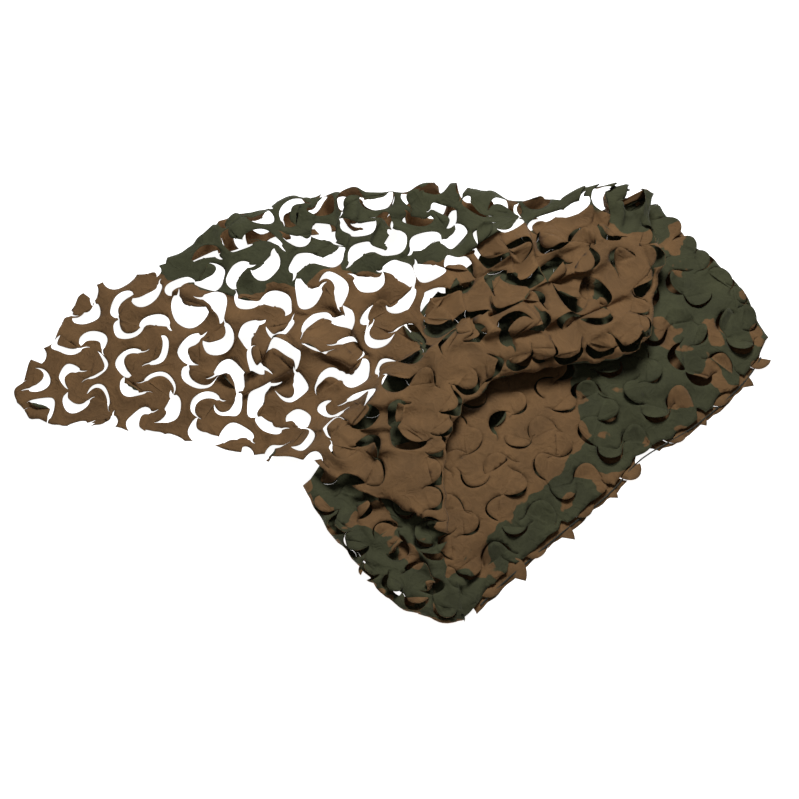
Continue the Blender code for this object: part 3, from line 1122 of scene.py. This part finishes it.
        warp = WARPS[self.kind] * np.column_stack([
            grain(flat, WARP_SIZE, 12.5), grain(flat, WARP_SIZE, 20.5),
        ])
        shift = (shift + warp) * fade[:, None]
        laid = spots + ups * lift[:, None]
        laid[:, :2] += shift
        held = np.flatnonzero(stiff > 0)
        if len(held):
            step = 0.0015
            base, up = self.lay(root[held])
            ahead, _ = self.lay(root[held] + aim[held] * step)
            along = ahead - base
            along /= np.maximum(np.linalg.norm(along, axis=1), 1e-9)[:, None]
            rigid = base + along * push[held][:, None] + up * lift[held][:, None]
            rigid[:, :2] += shift[held]
            weight = stiff[held][:, None]
            laid[held] = laid[held] * (1 - weight) + rigid * weight
        self.rest(laid)
        return laid


@dataclass(frozen=True)
class Studio:
    """Floor, lights and camera.

    Attributes:
        elevation: camera's height above the horizon, in degrees.
        lens: focal length in millimetres.
        sensor: width of the picture in the camera, in millimetres.
        pixel: size of a pixel at the net, in metres.
        width: width of the picture, in pixels.
    """

    elevation: float = 60.0
    lens: float = 100.0
    sensor: float = 36.0
    pixel: float = 0.00185
    width: int = 799

    def floor(self) -> None:
        """A plain pale floor."""
        mesh = bpy.data.meshes.new("floor")
        half = 8.0
        mesh.from_pydata(
            [(-half, -half, 0), (half, -half, 0), (half, half, 0), (-half, half, 0)], [],
            [(0, 1, 2, 3)],
        )
        floor = bpy.data.objects.new("floor", mesh)
        bpy.context.scene.collection.objects.link(floor)
        finish = bpy.data.materials.new("pale_floor")
        finish.use_nodes = True
        shader = finish.node_tree.nodes["Principled BSDF"]
        shader.inputs["Base Color"].default_value = (0.85, 0.85, 0.85, 1)
        shader.inputs["Roughness"].default_value = 0.9
        shader.inputs["Emission Color"].default_value = (1, 1, 1, 1)
        shader.inputs["Emission Strength"].default_value = 0.93
        mesh.materials.append(finish)

    @staticmethod
    def lamp(name: str, place: tuple, size: float, power: float) -> None:
        """An area lamp that points at the net.

        Args:
            name: its name.
            place: where it hangs.
            size: its width.
            power: its power in watts.
        """
        data = bpy.data.lights.new(name, "AREA")
        data.size = size
        data.energy = power
        lamp = bpy.data.objects.new(name, data)
        lamp.location = place
        lamp.rotation_euler = (-Vector(place)).to_track_quat("-Z", "Y").to_euler()
        bpy.context.scene.collection.objects.link(lamp)

    def light(self) -> None:
        """Soft light from above, in a pale room."""
        self.lamp("key", (0.35, 1.15, 2.7), 0.9, 74)
        self.lamp("fill", (-0.8, -1.7, 3.0), 1.6, 4)
        world = bpy.data.worlds.new("pale_room")
        world.use_nodes = True
        back = world.node_tree.nodes["Background"]
        back.inputs["Color"].default_value = (1, 1, 1, 1)
        back.inputs["Strength"].default_value = 0.07
        bpy.context.scene.world = world
        bpy.context.scene.view_settings.view_transform = "Standard"

    def camera(self) -> None:
        """The camera, at the photograph's angle."""
        data = bpy.data.cameras.new("camera")
        data.lens = self.lens
        data.sensor_width = self.sensor
        camera = bpy.data.objects.new("camera", data)
        bpy.context.scene.collection.objects.link(camera)
        reach = self.width * self.pixel * self.lens / self.sensor
        tilt = math.radians(self.elevation)
        aim = Vector((-CENTRE.x, -CENTRE.y, 0))
        back = Vector((0, -math.cos(tilt), math.sin(tilt)))
        camera.location = aim + back * reach
        camera.rotation_euler = (-back).to_track_quat("-Z", "Y").to_euler()
        bpy.context.scene.camera = camera


class Nodes:
    """Adds nodes and links to a tree."""

    def __init__(self, tree: bpy.types.NodeTree) -> None:
        """Keep the tree."""
        self.tree = tree

    def add(
        self, kind: str, settings: dict | None = None, inputs: dict | None = None
    ) -> bpy.types.Node:
        """Add a node.

        Args:
            kind: the node's type name.
            settings: its own settings.
            inputs: values or sockets for its inputs.

        Returns:
            The node.
        """
        node = self.tree.nodes.new(kind)
        for name, value in (settings or {}).items():
            setattr(node, name, value)
        for name, value in (inputs or {}).items():
            if isinstance(value, bpy.types.NodeSocket):
                self.tree.links.new(value, node.inputs[name])
            else:
                node.inputs[name].default_value = value
        return node

    def math(self, operation: str, first: object, second: object = 0.0) -> bpy.types.NodeSocket:
        """A math node's result."""
        node = self.add("ShaderNodeMath", {"operation": operation}, {0: first, 1: second})
        return node.outputs[0]

    def mix(self, factor: object, first: tuple, second: tuple) -> bpy.types.NodeSocket:
        """A mix of two colours.

        Args:
            factor: how much of the second colour shows.
            first: the first colour.
            second: the second colour.

        Returns:
            The socket of the mixed colour.
        """
        node = self.add("ShaderNodeMix", {"data_type": "RGBA"})
        colours = [entry for entry in node.inputs if entry.type == "RGBA"]
        colours[0].default_value = (*first, 1)
        colours[1].default_value = (*second, 1)
        self.tree.links.new(factor, node.inputs[0])
        return [entry for entry in node.outputs if entry.type == "RGBA"][0]


@dataclass(frozen=True)
class GroupSocket:
    """A named input or output of a shader group."""

    name: str
    kind: str = "NodeSocketFloat"
    default: object = None


def shader_group(name: str, inputs: tuple, outputs: tuple) -> tuple:
    """Start a shader node group.

    Args:
        name: the group's name.
        inputs: its inputs.
        outputs: its outputs.

    Returns:
        The group, its input node's outputs, its output node's inputs and a node adder.
    """
    group = bpy.data.node_groups.new(name, "ShaderNodeTree")
    for direction, sockets in (("INPUT", inputs), ("OUTPUT", outputs)):
        for entry in sockets:
            made = group.interface.new_socket(entry.name, in_out=direction, socket_type=entry.kind)
            if entry.default is not None:
                made.default_value = entry.default
    nodes = Nodes(group)
    return group, nodes.add("NodeGroupInput").outputs, nodes.add("NodeGroupOutput").inputs, nodes


def print_group() -> bpy.types.NodeTree:
    """Mask of a print whose edge wavers a little.

    Returns:
        The group's tree.
    """
    group, given, result, nodes = shader_group(
        "print_edge",
        (
            GroupSocket("Field"), GroupSocket("Place", "NodeSocketVector"),
            GroupSocket("Waver", default=0.008), GroupSocket("Edge", default=0.0012),
        ),
        (GroupSocket("Mask"),),
    )
    wobble = nodes.add("ShaderNodeTexNoise", inputs={
        "Vector": given["Place"], "Scale": 26.0, "Detail": 2.0,
    }).outputs["Fac"]
    shift = nodes.math("MULTIPLY", nodes.math("SUBTRACT", wobble, 0.5), given["Waver"])
    level = nodes.math("ADD", given["Field"], nodes.math("MULTIPLY", shift, 4.0))
    low = nodes.math("MULTIPLY", given["Edge"], -1.0)
    ramp = nodes.add(
        "ShaderNodeMapRange", {"interpolation_type": "SMOOTHSTEP"},
        {"Value": level, "From Min": low, "From Max": given["Edge"]},
    )
    nodes.tree.links.new(ramp.outputs["Result"], result["Mask"])
    return group


def weave_group() -> bpy.types.NodeTree:
    """Height and tint of a fine plain weave under a coat.

    Returns:
        The group's tree.
    """
    group, given, result, nodes = shader_group(
        "coated_weave",
        (GroupSocket("Place", "NodeSocketVector"), GroupSocket("Pitch", default=0.0011)),
        (GroupSocket("Height"), GroupSocket("Tint")),
    )
    scale = nodes.math("DIVIDE", 2 * math.pi, given["Pitch"])
    parts = nodes.add("ShaderNodeSeparateXYZ", inputs={"Vector": given["Place"]}).outputs
    warp = nodes.math("SINE", nodes.math("MULTIPLY", parts["X"], scale))
    weft = nodes.math("SINE", nodes.math("MULTIPLY", parts["Y"], scale))
    woven = nodes.math("MULTIPLY", warp, weft)
    nodes.tree.links.new(woven, result["Height"])
    thread = nodes.add("ShaderNodeTexNoise", inputs={
        "Vector": given["Place"], "Scale": 900.0, "Detail": 2.0,
    }).outputs["Fac"]
    nodes.tree.links.new(thread, result["Tint"])
    return group


def crease_group() -> bpy.types.NodeTree:
    """Height of fine handling creases, and how much lighter the colour is drawn along their crests.

    Returns:
        The group's tree.
    """
    group, given, result, nodes = shader_group(
        "handling_creases",
        (GroupSocket("Place", "NodeSocketVector"), GroupSocket("Size", default=0.03)),
        (GroupSocket("Height"), GroupSocket("Crest Tint")),
    )
    scale = nodes.math("DIVIDE", 1.0, given["Size"])
    broad = nodes.add("ShaderNodeTexNoise", inputs={
        "Vector": given["Place"], "Scale": scale, "Detail": 3.0, "Distortion": 0.6,
    }).outputs["Fac"]
    ridge = nodes.math("ABSOLUTE", nodes.math("SUBTRACT", broad, 0.5))
    sharp = nodes.math("SUBTRACT", 0.5, ridge)
    nodes.tree.links.new(sharp, result["Height"])
    crest_tint = nodes.add("ShaderNodeMapRange", inputs={
        "Value": sharp, "From Min": 0.44, "From Max": 0.5,
    }).outputs["Result"]
    nodes.tree.links.new(crest_tint, result["Crest Tint"])
    return group


@dataclass(frozen=True)
class ClothFinish:
    """Printed and coated cloth, one face of it.

    Attributes:
        name: the material's name.
        field: the attribute that holds the print.
        brown: the brown ink.
        green: the green ink.
    """

    name: str
    field: str
    brown: tuple = (0.176, 0.098, 0.042)
    green: tuple = (0.059, 0.061, 0.031)

    def make(self, groups: dict) -> bpy.types.Material:
        """Build the material.

        Args:
            groups: the shared shader groups by name.

        Returns:
            The material.
        """
        finish = bpy.data.materials.new(self.name)
        finish.use_nodes = True
        nodes = Nodes(finish.node_tree)
        shader = finish.node_tree.nodes["Principled BSDF"]
        place = nodes.add("ShaderNodeAttribute", {"attribute_name": "flat"}).outputs["Vector"]
        value = nodes.add("ShaderNodeAttribute", {"attribute_name": self.field}).outputs["Fac"]
        mask = nodes.add("ShaderNodeGroup", {"node_tree": groups["print"]}, {
            "Field": value, "Place": place, "Waver": 0.010, "Edge": 0.0012,
        }).outputs["Mask"]
        inked = nodes.mix(mask, self.brown, self.green)
        weave = nodes.add("ShaderNodeGroup", {"node_tree": groups["weave"]}, {
            "Place": place, "Pitch": 0.0012,
        }).outputs
        crease = nodes.add("ShaderNodeGroup", {"node_tree": groups["crease"]}, {
            "Place": place, "Size": 0.020,
        }).outputs
        blotch = nodes.add("ShaderNodeTexNoise", inputs={
            "Vector": place, "Scale": 14.0, "Detail": 4.0, "Roughness": 0.6,
        }).outputs["Fac"]
        shade = nodes.add("ShaderNodeMapRange", inputs={
            "Value": blotch, "From Min": 0.3, "From Max": 0.7, "To Min": 0.74, "To Max": 1.14,
        }).outputs["Result"]
        # Colour drawn lighter along the crests of the handling creases.
        shade = nodes.math("ADD", shade, nodes.math("MULTIPLY", crease["Crest Tint"], 0.10))
        tone = nodes.math("MULTIPLY", nodes.math("SUBTRACT", weave["Tint"], 0.5), 0.22)
        shade = nodes.math("ADD", shade, tone)
        worn = nodes.add("ShaderNodeVectorMath", {"operation": "SCALE"}, {
            0: inked, "Scale": shade,
        }).outputs["Vector"]
        finish.node_tree.links.new(worn, shader.inputs["Base Color"])
        rough = nodes.add("ShaderNodeMapRange", inputs={
            "Value": blotch, "From Min": 0.3, "From Max": 0.7, "To Min": 0.74, "To Max": 0.88,
        }).outputs["Result"]
        finish.node_tree.links.new(rough, shader.inputs["Roughness"])
        shader.inputs["Sheen Weight"].default_value = 0.03
        shader.inputs["Sheen Roughness"].default_value = 0.5
        shader.inputs["Specular IOR Level"].default_value = 0.15
        height = nodes.math("MULTIPLY", crease["Height"], 0.0045)
        height = nodes.math("ADD", height, nodes.math("MULTIPLY", weave["Height"], 0.00006))
        bump = nodes.add("ShaderNodeBump", inputs={
            "Height": height, "Strength": 1.0, "Distance": 1.0,
        }).outputs["Normal"]
        finish.node_tree.links.new(bump, shader.inputs["Normal"])
        return finish


@dataclass(frozen=True)
class CordFinish:
    """Thin dark twisted cord.

    Attributes:
        name: the material's name.
        dark: the darker of its fibres.
        light: the lighter of its fibres.
    """

    name: str = "dark_cord"
    dark: tuple = (0.018, 0.018, 0.012)
    light: tuple = (0.045, 0.045, 0.030)

    def make(self) -> bpy.types.Material:
        """Build the material.

        Returns:
            The material.
        """
        finish = bpy.data.materials.new(self.name)
        finish.use_nodes = True
        nodes = Nodes(finish.node_tree)
        shader = finish.node_tree.nodes["Principled BSDF"]
        place = nodes.add("ShaderNodeTexCoord").outputs["Object"]
        fibre = nodes.add("ShaderNodeTexNoise", inputs={
            "Vector": place, "Scale": 700.0, "Detail": 2.0,
        }).outputs["Fac"]
        finish.node_tree.links.new(
            nodes.mix(fibre, self.dark, self.light), shader.inputs["Base Color"]
        )
        shader.inputs["Roughness"].default_value = 0.7
        return finish


# Main patches of the print. Those named green lie on brown cloth
GREEN_RIDGE = (
    Place(-0.500, 0.270), Place(-0.420, 0.225), Place(-0.360, 0.190), Place(-0.290, 0.188),
    Place(-0.230, 0.212), Place(-0.170, 0.210), Place(-0.115, 0.260), Place(-0.070, 0.232),
    Place(0.000, 0.236), Place(0.090, 0.262), Place(0.210, 0.316), Place(0.290, 0.366),
    Place(0.350, 0.352), Place(0.400, 0.340), Place(0.430, 0.310), Place(0.520, 0.340),
    Place(0.600, 0.520), Place(0.000, 0.640), Place(-0.560, 0.440),
)
BROWN_FRONT = (
    Place(-0.020, 0.140), Place(0.200, 0.150), Place(0.320, 0.080), Place(0.322, -0.020),
    Place(0.342, -0.090), Place(0.292, -0.168), Place(0.195, -0.250), Place(0.124, -0.330),
    Place(0.080, -0.390), Place(0.000, -0.360),
)
LIMIT = 0.05


def depth_in(points: np.ndarray, places: tuple) -> np.ndarray:
    """Distance inside a patch, less than 0 outside it.

    Args:
        points: the points, one a row.
        places: the loop's corners in order.

    Returns:
        The distance to the loop at each point, less than 0 outside it.
    """
    loop = np.array(places)
    gap = nearest(points, closed(loop))[0]
    return np.clip(np.where(within(points, loop), gap, -gap), -LIMIT, LIMIT)


def upper_print(points: np.ndarray, kind: Ply) -> np.ndarray:
    """The print of a ply's upper side: more than 0 in the green, less in the brown.

    Args:
        points: the points, one a row.
        kind: which ply it is.

    Returns:
        The print's value at each point.
    """
    if kind is Ply.TOP:
        return depth_in(points, GREEN_RIDGE)
    if kind is Ply.MIDDLE:
        return (0.42 - grain(points, 0.060, 3.3)) * 0.05
    field_green = -depth_in(points, BROWN_FRONT)
    if kind is Ply.UNDER:
        return -field_green
    spots = (0.34 - grain(points, 0.050, 3.3)) * 0.05
    return np.minimum(field_green, spots)


def lower_print(points: np.ndarray, kind: Ply) -> np.ndarray:
    """The print of a ply's lower side, mostly the other colour.

    Args:
        points: the points, one a row.
        kind: which ply it is.

    Returns:
        The print's value at each point.
    """
    mottle = 0.02 * grain(points, 0.10, 8.8)
    if kind is Ply.TOP:
        return np.clip(-depth_in(points, GREEN_RIDGE) + mottle, -LIMIT, LIMIT)
    if kind is Ply.PACKET:
        return np.clip(depth_in(points, BROWN_FRONT) + mottle, -LIMIT, LIMIT)
    return mottle


@dataclass
class NetCloth:
    """The whole cloth, one thin sheet.

    Attributes:
        heights: the heights of its plies.
        plies: the plies, from the top down.
    """

    heights: Heights
    plies: list = field(default_factory=list)

    def set_out(self) -> None:
        """Set out the four plies, their folds and their cuts."""
        high = self.heights
        one = Fold(FOLD_ONE, -1, high.top, high.middle)
        two = Fold(FOLD_TWO, -1, high.middle, high.packet)
        three = Fold(FOLD_THREE, 1, high.packet, high.under, 0.3)
        ridge = Fold(RIDGE, -1, high.top, high.under)
        wing_edge, peak, wing_hem, short_hem, packet_hem = (
            frayed(run(places, RAW_SPACING))
            for places in (WING_EDGE, PEAK_EDGE, WING_HEM, SHORT_HEM, PACKET_HEM)
        )
        gather_rear = run(GATHER_REAR[::-1], HEM_SPACING)[::-1]
        inner_rear, under_end = run(INNER_REAR, HEM_SPACING), run(UNDER_END, HEM_SPACING)
        under_rear = run(UNDER_REAR, HEM_SPACING)
        turns = np.sin(math.pi * np.linspace(0, 1, len(ridge.points)))
        lip = LIP_LENGTH * (LIP_END_SHARE + (1 - LIP_END_SHARE) * turns)
        lip_line = (ridge.points + ridge.normals * lip[:, None])[1:-1]
        taper = np.minimum(1, np.arange(len(packet_hem)) / len(packet_hem) / UNDER_HEM_TAPER)
        ease = np.sin(math.pi * taper / 2)
        back_hem = packet_hem[::-1]
        under_hem = back_hem + outward(back_hem, -1) * (UNDER_HEM * ease)[:, None]

        top_core = np.vstack([wing_edge[:-1], ridge.points[:-1], peak[:-1], one.points[:-1],
                              wing_hem[:-1]])
        middle_core = np.vstack([one.points[:-1], short_hem[:-1], two.points[:-1],
                                 gather_rear[:-1]])
        packet_core = np.vstack([two.points[::-1][:-1], packet_hem[:-1], three.points[:-1],
                                 inner_rear[:-1]])
        under_core = np.vstack([three.points[::-1][:-1], under_hem[:-2], under_end[::-1][:-1],
                                under_rear[::-1][:-1]])
        on_under = (under_core, high.under)
        on_packet = (packet_core, high.packet)
        on_middle = (middle_core, high.gathered)

        self.plies = [
            ClothPly(
                Ply.TOP,
                np.vstack([wing_edge, lip_line, ridge.points[-1:], peak[1:], one.spread(),
                           wing_hem[:-1]]),
                top_core, high.top, [Edge(one, Roll.DOWN), Edge(ridge, Roll.LIP)],
                (on_packet, on_middle), 0.0066, 11, Place(-0.560, 0.062), True,
                (np.vstack([ridge.points[:1], lip_line[:1]]),
                 np.vstack([ridge.points[-1:], lip_line[-1:]]), one.spread()[:4]),
            ),
            ClothPly(
                Ply.MIDDLE,
                np.vstack([one.points[:1], one.spread(), short_hem[:-1], two.points[:1],
                           two.spread(), gather_rear[:-1]]),
                middle_core, high.gathered, [Edge(two, Roll.DOWN), Edge(one, Roll.UP)],
                (on_packet,), 0.0080, 40, Place(-0.060, -0.260), False, (), 0.80,
            ),
            ClothPly(
                Ply.PACKET,
                np.vstack([two.points[-1:], two.spread()[::-1], packet_hem[:-1],
                           three.points[:1], three.spread(), inner_rear[:-1]]),
                packet_core, high.packet, [Edge(three, Roll.DOWN), Edge(two, Roll.UP)],
                (on_under,), 0.0076, 42, Place(0.300, -0.120), True,
            ),
            ClothPly(
                Ply.UNDER,
                np.vstack([three.points[-1:], three.spread()[::-1], under_hem[:-2],
                           under_end[::-1][:-1], under_rear[::-1][:-1]]),
                under_core, high.under, [Edge(three, Roll.UP)],
                (), 0.0150, 42, Place(0.330, -0.150), False,
            ),
        ]
        draw = np.random.RandomState(SEED)
        for ply in self.plies:
            ply.lay_out_cuts(draw)
            LOG.info("%s ply: flat outline %.3f m2", ply.kind.value, area_in(ply.loop))
            if ply.kind in (Ply.PACKET, Ply.MIDDLE):
                for cut in ply.cuts:
                    cut.tone = DARK_TONE if draw.uniform() < DARK_SHARE else 0.0

    def build(self, groups: dict) -> bpy.types.Object:
        """Build the sheet.

        Args:
            groups: the shared shader groups by name.

        Returns:
            The cloth object.
        """
        spots, flats, fronts, backs, faces = [], [], [], [], []
        total = 0
        for ply in self.plies:
            flat, corners, origin = ply.cut_out()
            LOG.info("%s ply: %d cuts, %d triangles", ply.kind.value, len(ply.cuts), len(corners))
            laid = ply.shape(flat)
            self.pin_seams(ply, laid, origin)
            upper, lower = upper_print(flat, ply.kind), lower_print(flat, ply.kind)
            tones = np.array([cut.tone for cut in ply.cuts] + [0.0])
            upper = np.clip(upper + tones[ply.owners(flat)], -LIMIT, LIMIT)
            if not ply.face_up:
                upper, lower = lower, upper
                corners = [corner[::-1] for corner in corners]
            faces += [tuple(total + i for i in corner) for corner in corners]
            total += len(flat)
            spots.append(laid - (CENTRE.x, CENTRE.y, 0))
            flats.append(np.column_stack([flat, np.zeros(len(flat))]))
            fronts.append(upper)
            backs.append(lower)
            LOG.info("%s ply laid", ply.kind.value)
        mesh = bpy.data.meshes.new("camouflage_cloth")
        mesh.from_pydata(np.vstack(spots).tolist(), [], faces)
        flat_data = mesh.attributes.new("flat", "FLOAT_VECTOR", "POINT")
        flat_data.data.foreach_set("vector", np.vstack(flats).astype(np.float32).ravel())
        for name, values in (("print_front", fronts), ("print_back", backs)):
            data = mesh.attributes.new(name, "FLOAT", "POINT")
            data.data.foreach_set("value", np.concatenate(values).astype(np.float32))
        self.weld(mesh)
        cloth = bpy.data.objects.new("camouflage_cloth", mesh)
        bpy.context.scene.collection.objects.link(cloth)
        mesh.materials.append(ClothFinish("cloth_front", "print_front").make(groups))
        mesh.materials.append(ClothFinish("cloth_back", "print_back").make(groups))
        mesh.shade_smooth()
        thick = cloth.modifiers.new("thickness", "SOLIDIFY")
        thick.thickness = CLOTH
        thick.offset = 0
        thick.material_offset = 1
        return cloth

    @staticmethod
    def pin_seams(ply: ClothPly, laid: np.ndarray, origin: np.ndarray) -> None:
        """Put the points of each fold's outermost line where the two plies meet.

        Args:
            ply: the ply.
            laid: its points in space, which are changed.
            origin: the loop point that each came from, or -1.
        """
        for edge in ply.edges:
            if edge.roll is Roll.LIP:
                continue
            seam = edge.fold.seam()
            spread = edge.fold.spread()
            for index in np.flatnonzero(origin >= 0):
                gaps = np.abs(spread - ply.loop[origin[index]]).max(axis=1)
                if gaps.min() < 1e-9:
                    laid[index] = seam[gaps.argmin()]

    @staticmethod
    def weld(mesh: bpy.types.Mesh) -> None:
        """Join the plies at their seams and drop whatever the cuts part from the cloth.

        Args:
            mesh: the cloth's mesh, which is changed.
        """
        draft = bmesh.new()
        draft.from_mesh(mesh)
        bmesh.ops.remove_doubles(draft, verts=draft.verts, dist=2e-5)
        seen: set = set()
        largest: list = []
        for start in draft.verts:
            if start in seen:
                continue
            seen.add(start)
            group = [start]
            for vertex in group:
                for edge in vertex.link_edges:
                    other = edge.other_vert(vertex)
                    if other not in seen:
                        seen.add(other)
                        group.append(other)
            if len(group) > len(largest):
                largest = group
        keep = set(largest)
        drop = [vertex for vertex in draft.verts if vertex not in keep]
        bmesh.ops.delete(draft, geom=drop, context="VERTS")
        draft.to_mesh(mesh)
        draft.free()


@dataclass(frozen=True)
class EdgeCord:
    """The twisted cord along the packet's hem.

    Attributes:
        strands: how many strands are twisted together.
        pitch: the length of one turn.
        sides: faces around a strand.
    """

    strands: int = 3
    pitch: float = 0.011
    sides: int = 5

    def build(self) -> bpy.types.Object:
        """Build the cord from its twisted strands.

        Returns:
            The cord object.
        """
        hem = run(PACKET_HEM, HEM_SPACING)
        path = (hem + outward(hem, 1) * CORD_OUT)[CORD_SHORT:-CORD_SHORT] - CENTRE
        lengths = np.concatenate([[0], np.cumsum(np.linalg.norm(np.diff(path, axis=0), axis=1))])
        stations = np.arange(0, lengths[-1], self.pitch / 9)
        line = np.column_stack([np.interp(stations, lengths, path[:, axis]) for axis in (0, 1)])
        across = outward(line, 1)
        level = SOLID_SHEET + SOLID_CLEAR + CORD_RADIUS
        vertices, faces = [], []
        thin = CORD_RADIUS * 0.5
        for strand in range(self.strands):
            turn = 2 * math.pi * (stations / self.pitch + strand / self.strands)
            middle = np.column_stack([
                line + across * (thin * np.cos(turn))[:, None], level + thin * np.sin(turn),
            ])
            first = len(vertices)
            for side in range(self.sides):
                angle = 2 * math.pi * side / self.sides
                ring = middle.copy()
                ring[:, :2] += across * (thin * math.cos(angle))
                ring[:, 2] += thin * math.sin(angle)
                vertices += ring.tolist()
            count = len(stations)
            for side in range(self.sides):
                here = first + side * count
                there = first + (side + 1) % self.sides * count
                faces += [(here + i, there + i, there + i + 1, here + i + 1)
                          for i in range(count - 1)]
            starts = [first + side * count for side in range(self.sides)]
            faces.append(tuple(starts[::-1]))
            faces.append(tuple(start + count - 1 for start in starts))
        mesh = bpy.data.meshes.new("hem_cord")
        mesh.from_pydata(vertices, [], faces)
        mesh.shade_smooth()
        mesh.materials.append(CordFinish().make())
        cord = bpy.data.objects.new("hem_cord", mesh)
        bpy.context.scene.collection.objects.link(cord)
        return cord


def main() -> None:
    """Build the net's pieces, the floor, the lights and the camera."""
    logging.basicConfig(level=logging.INFO, format="%(relativeCreated)d %(name)s: %(message)s")
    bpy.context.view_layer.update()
    studio = Studio()
    studio.camera()
    studio.floor()
    studio.light()
    groups = {"print": print_group(), "weave": weave_group(), "crease": crease_group()}

    net = NetCloth(Heights())
    net.set_out()
    LOG.info("plies set out")
    cloth = net.build(groups)
    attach(cloth, BODY)
    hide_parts("net")
    LOG.info("cloth: %d triangles before its thickness", len(cloth.data.polygons))

    cord = EdgeCord().build()
    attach(cord, BODY)
    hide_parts("edge_cord")
    LOG.info("cord: %d faces", len(cord.data.polygons))


if __name__ == "__main__":
    main()
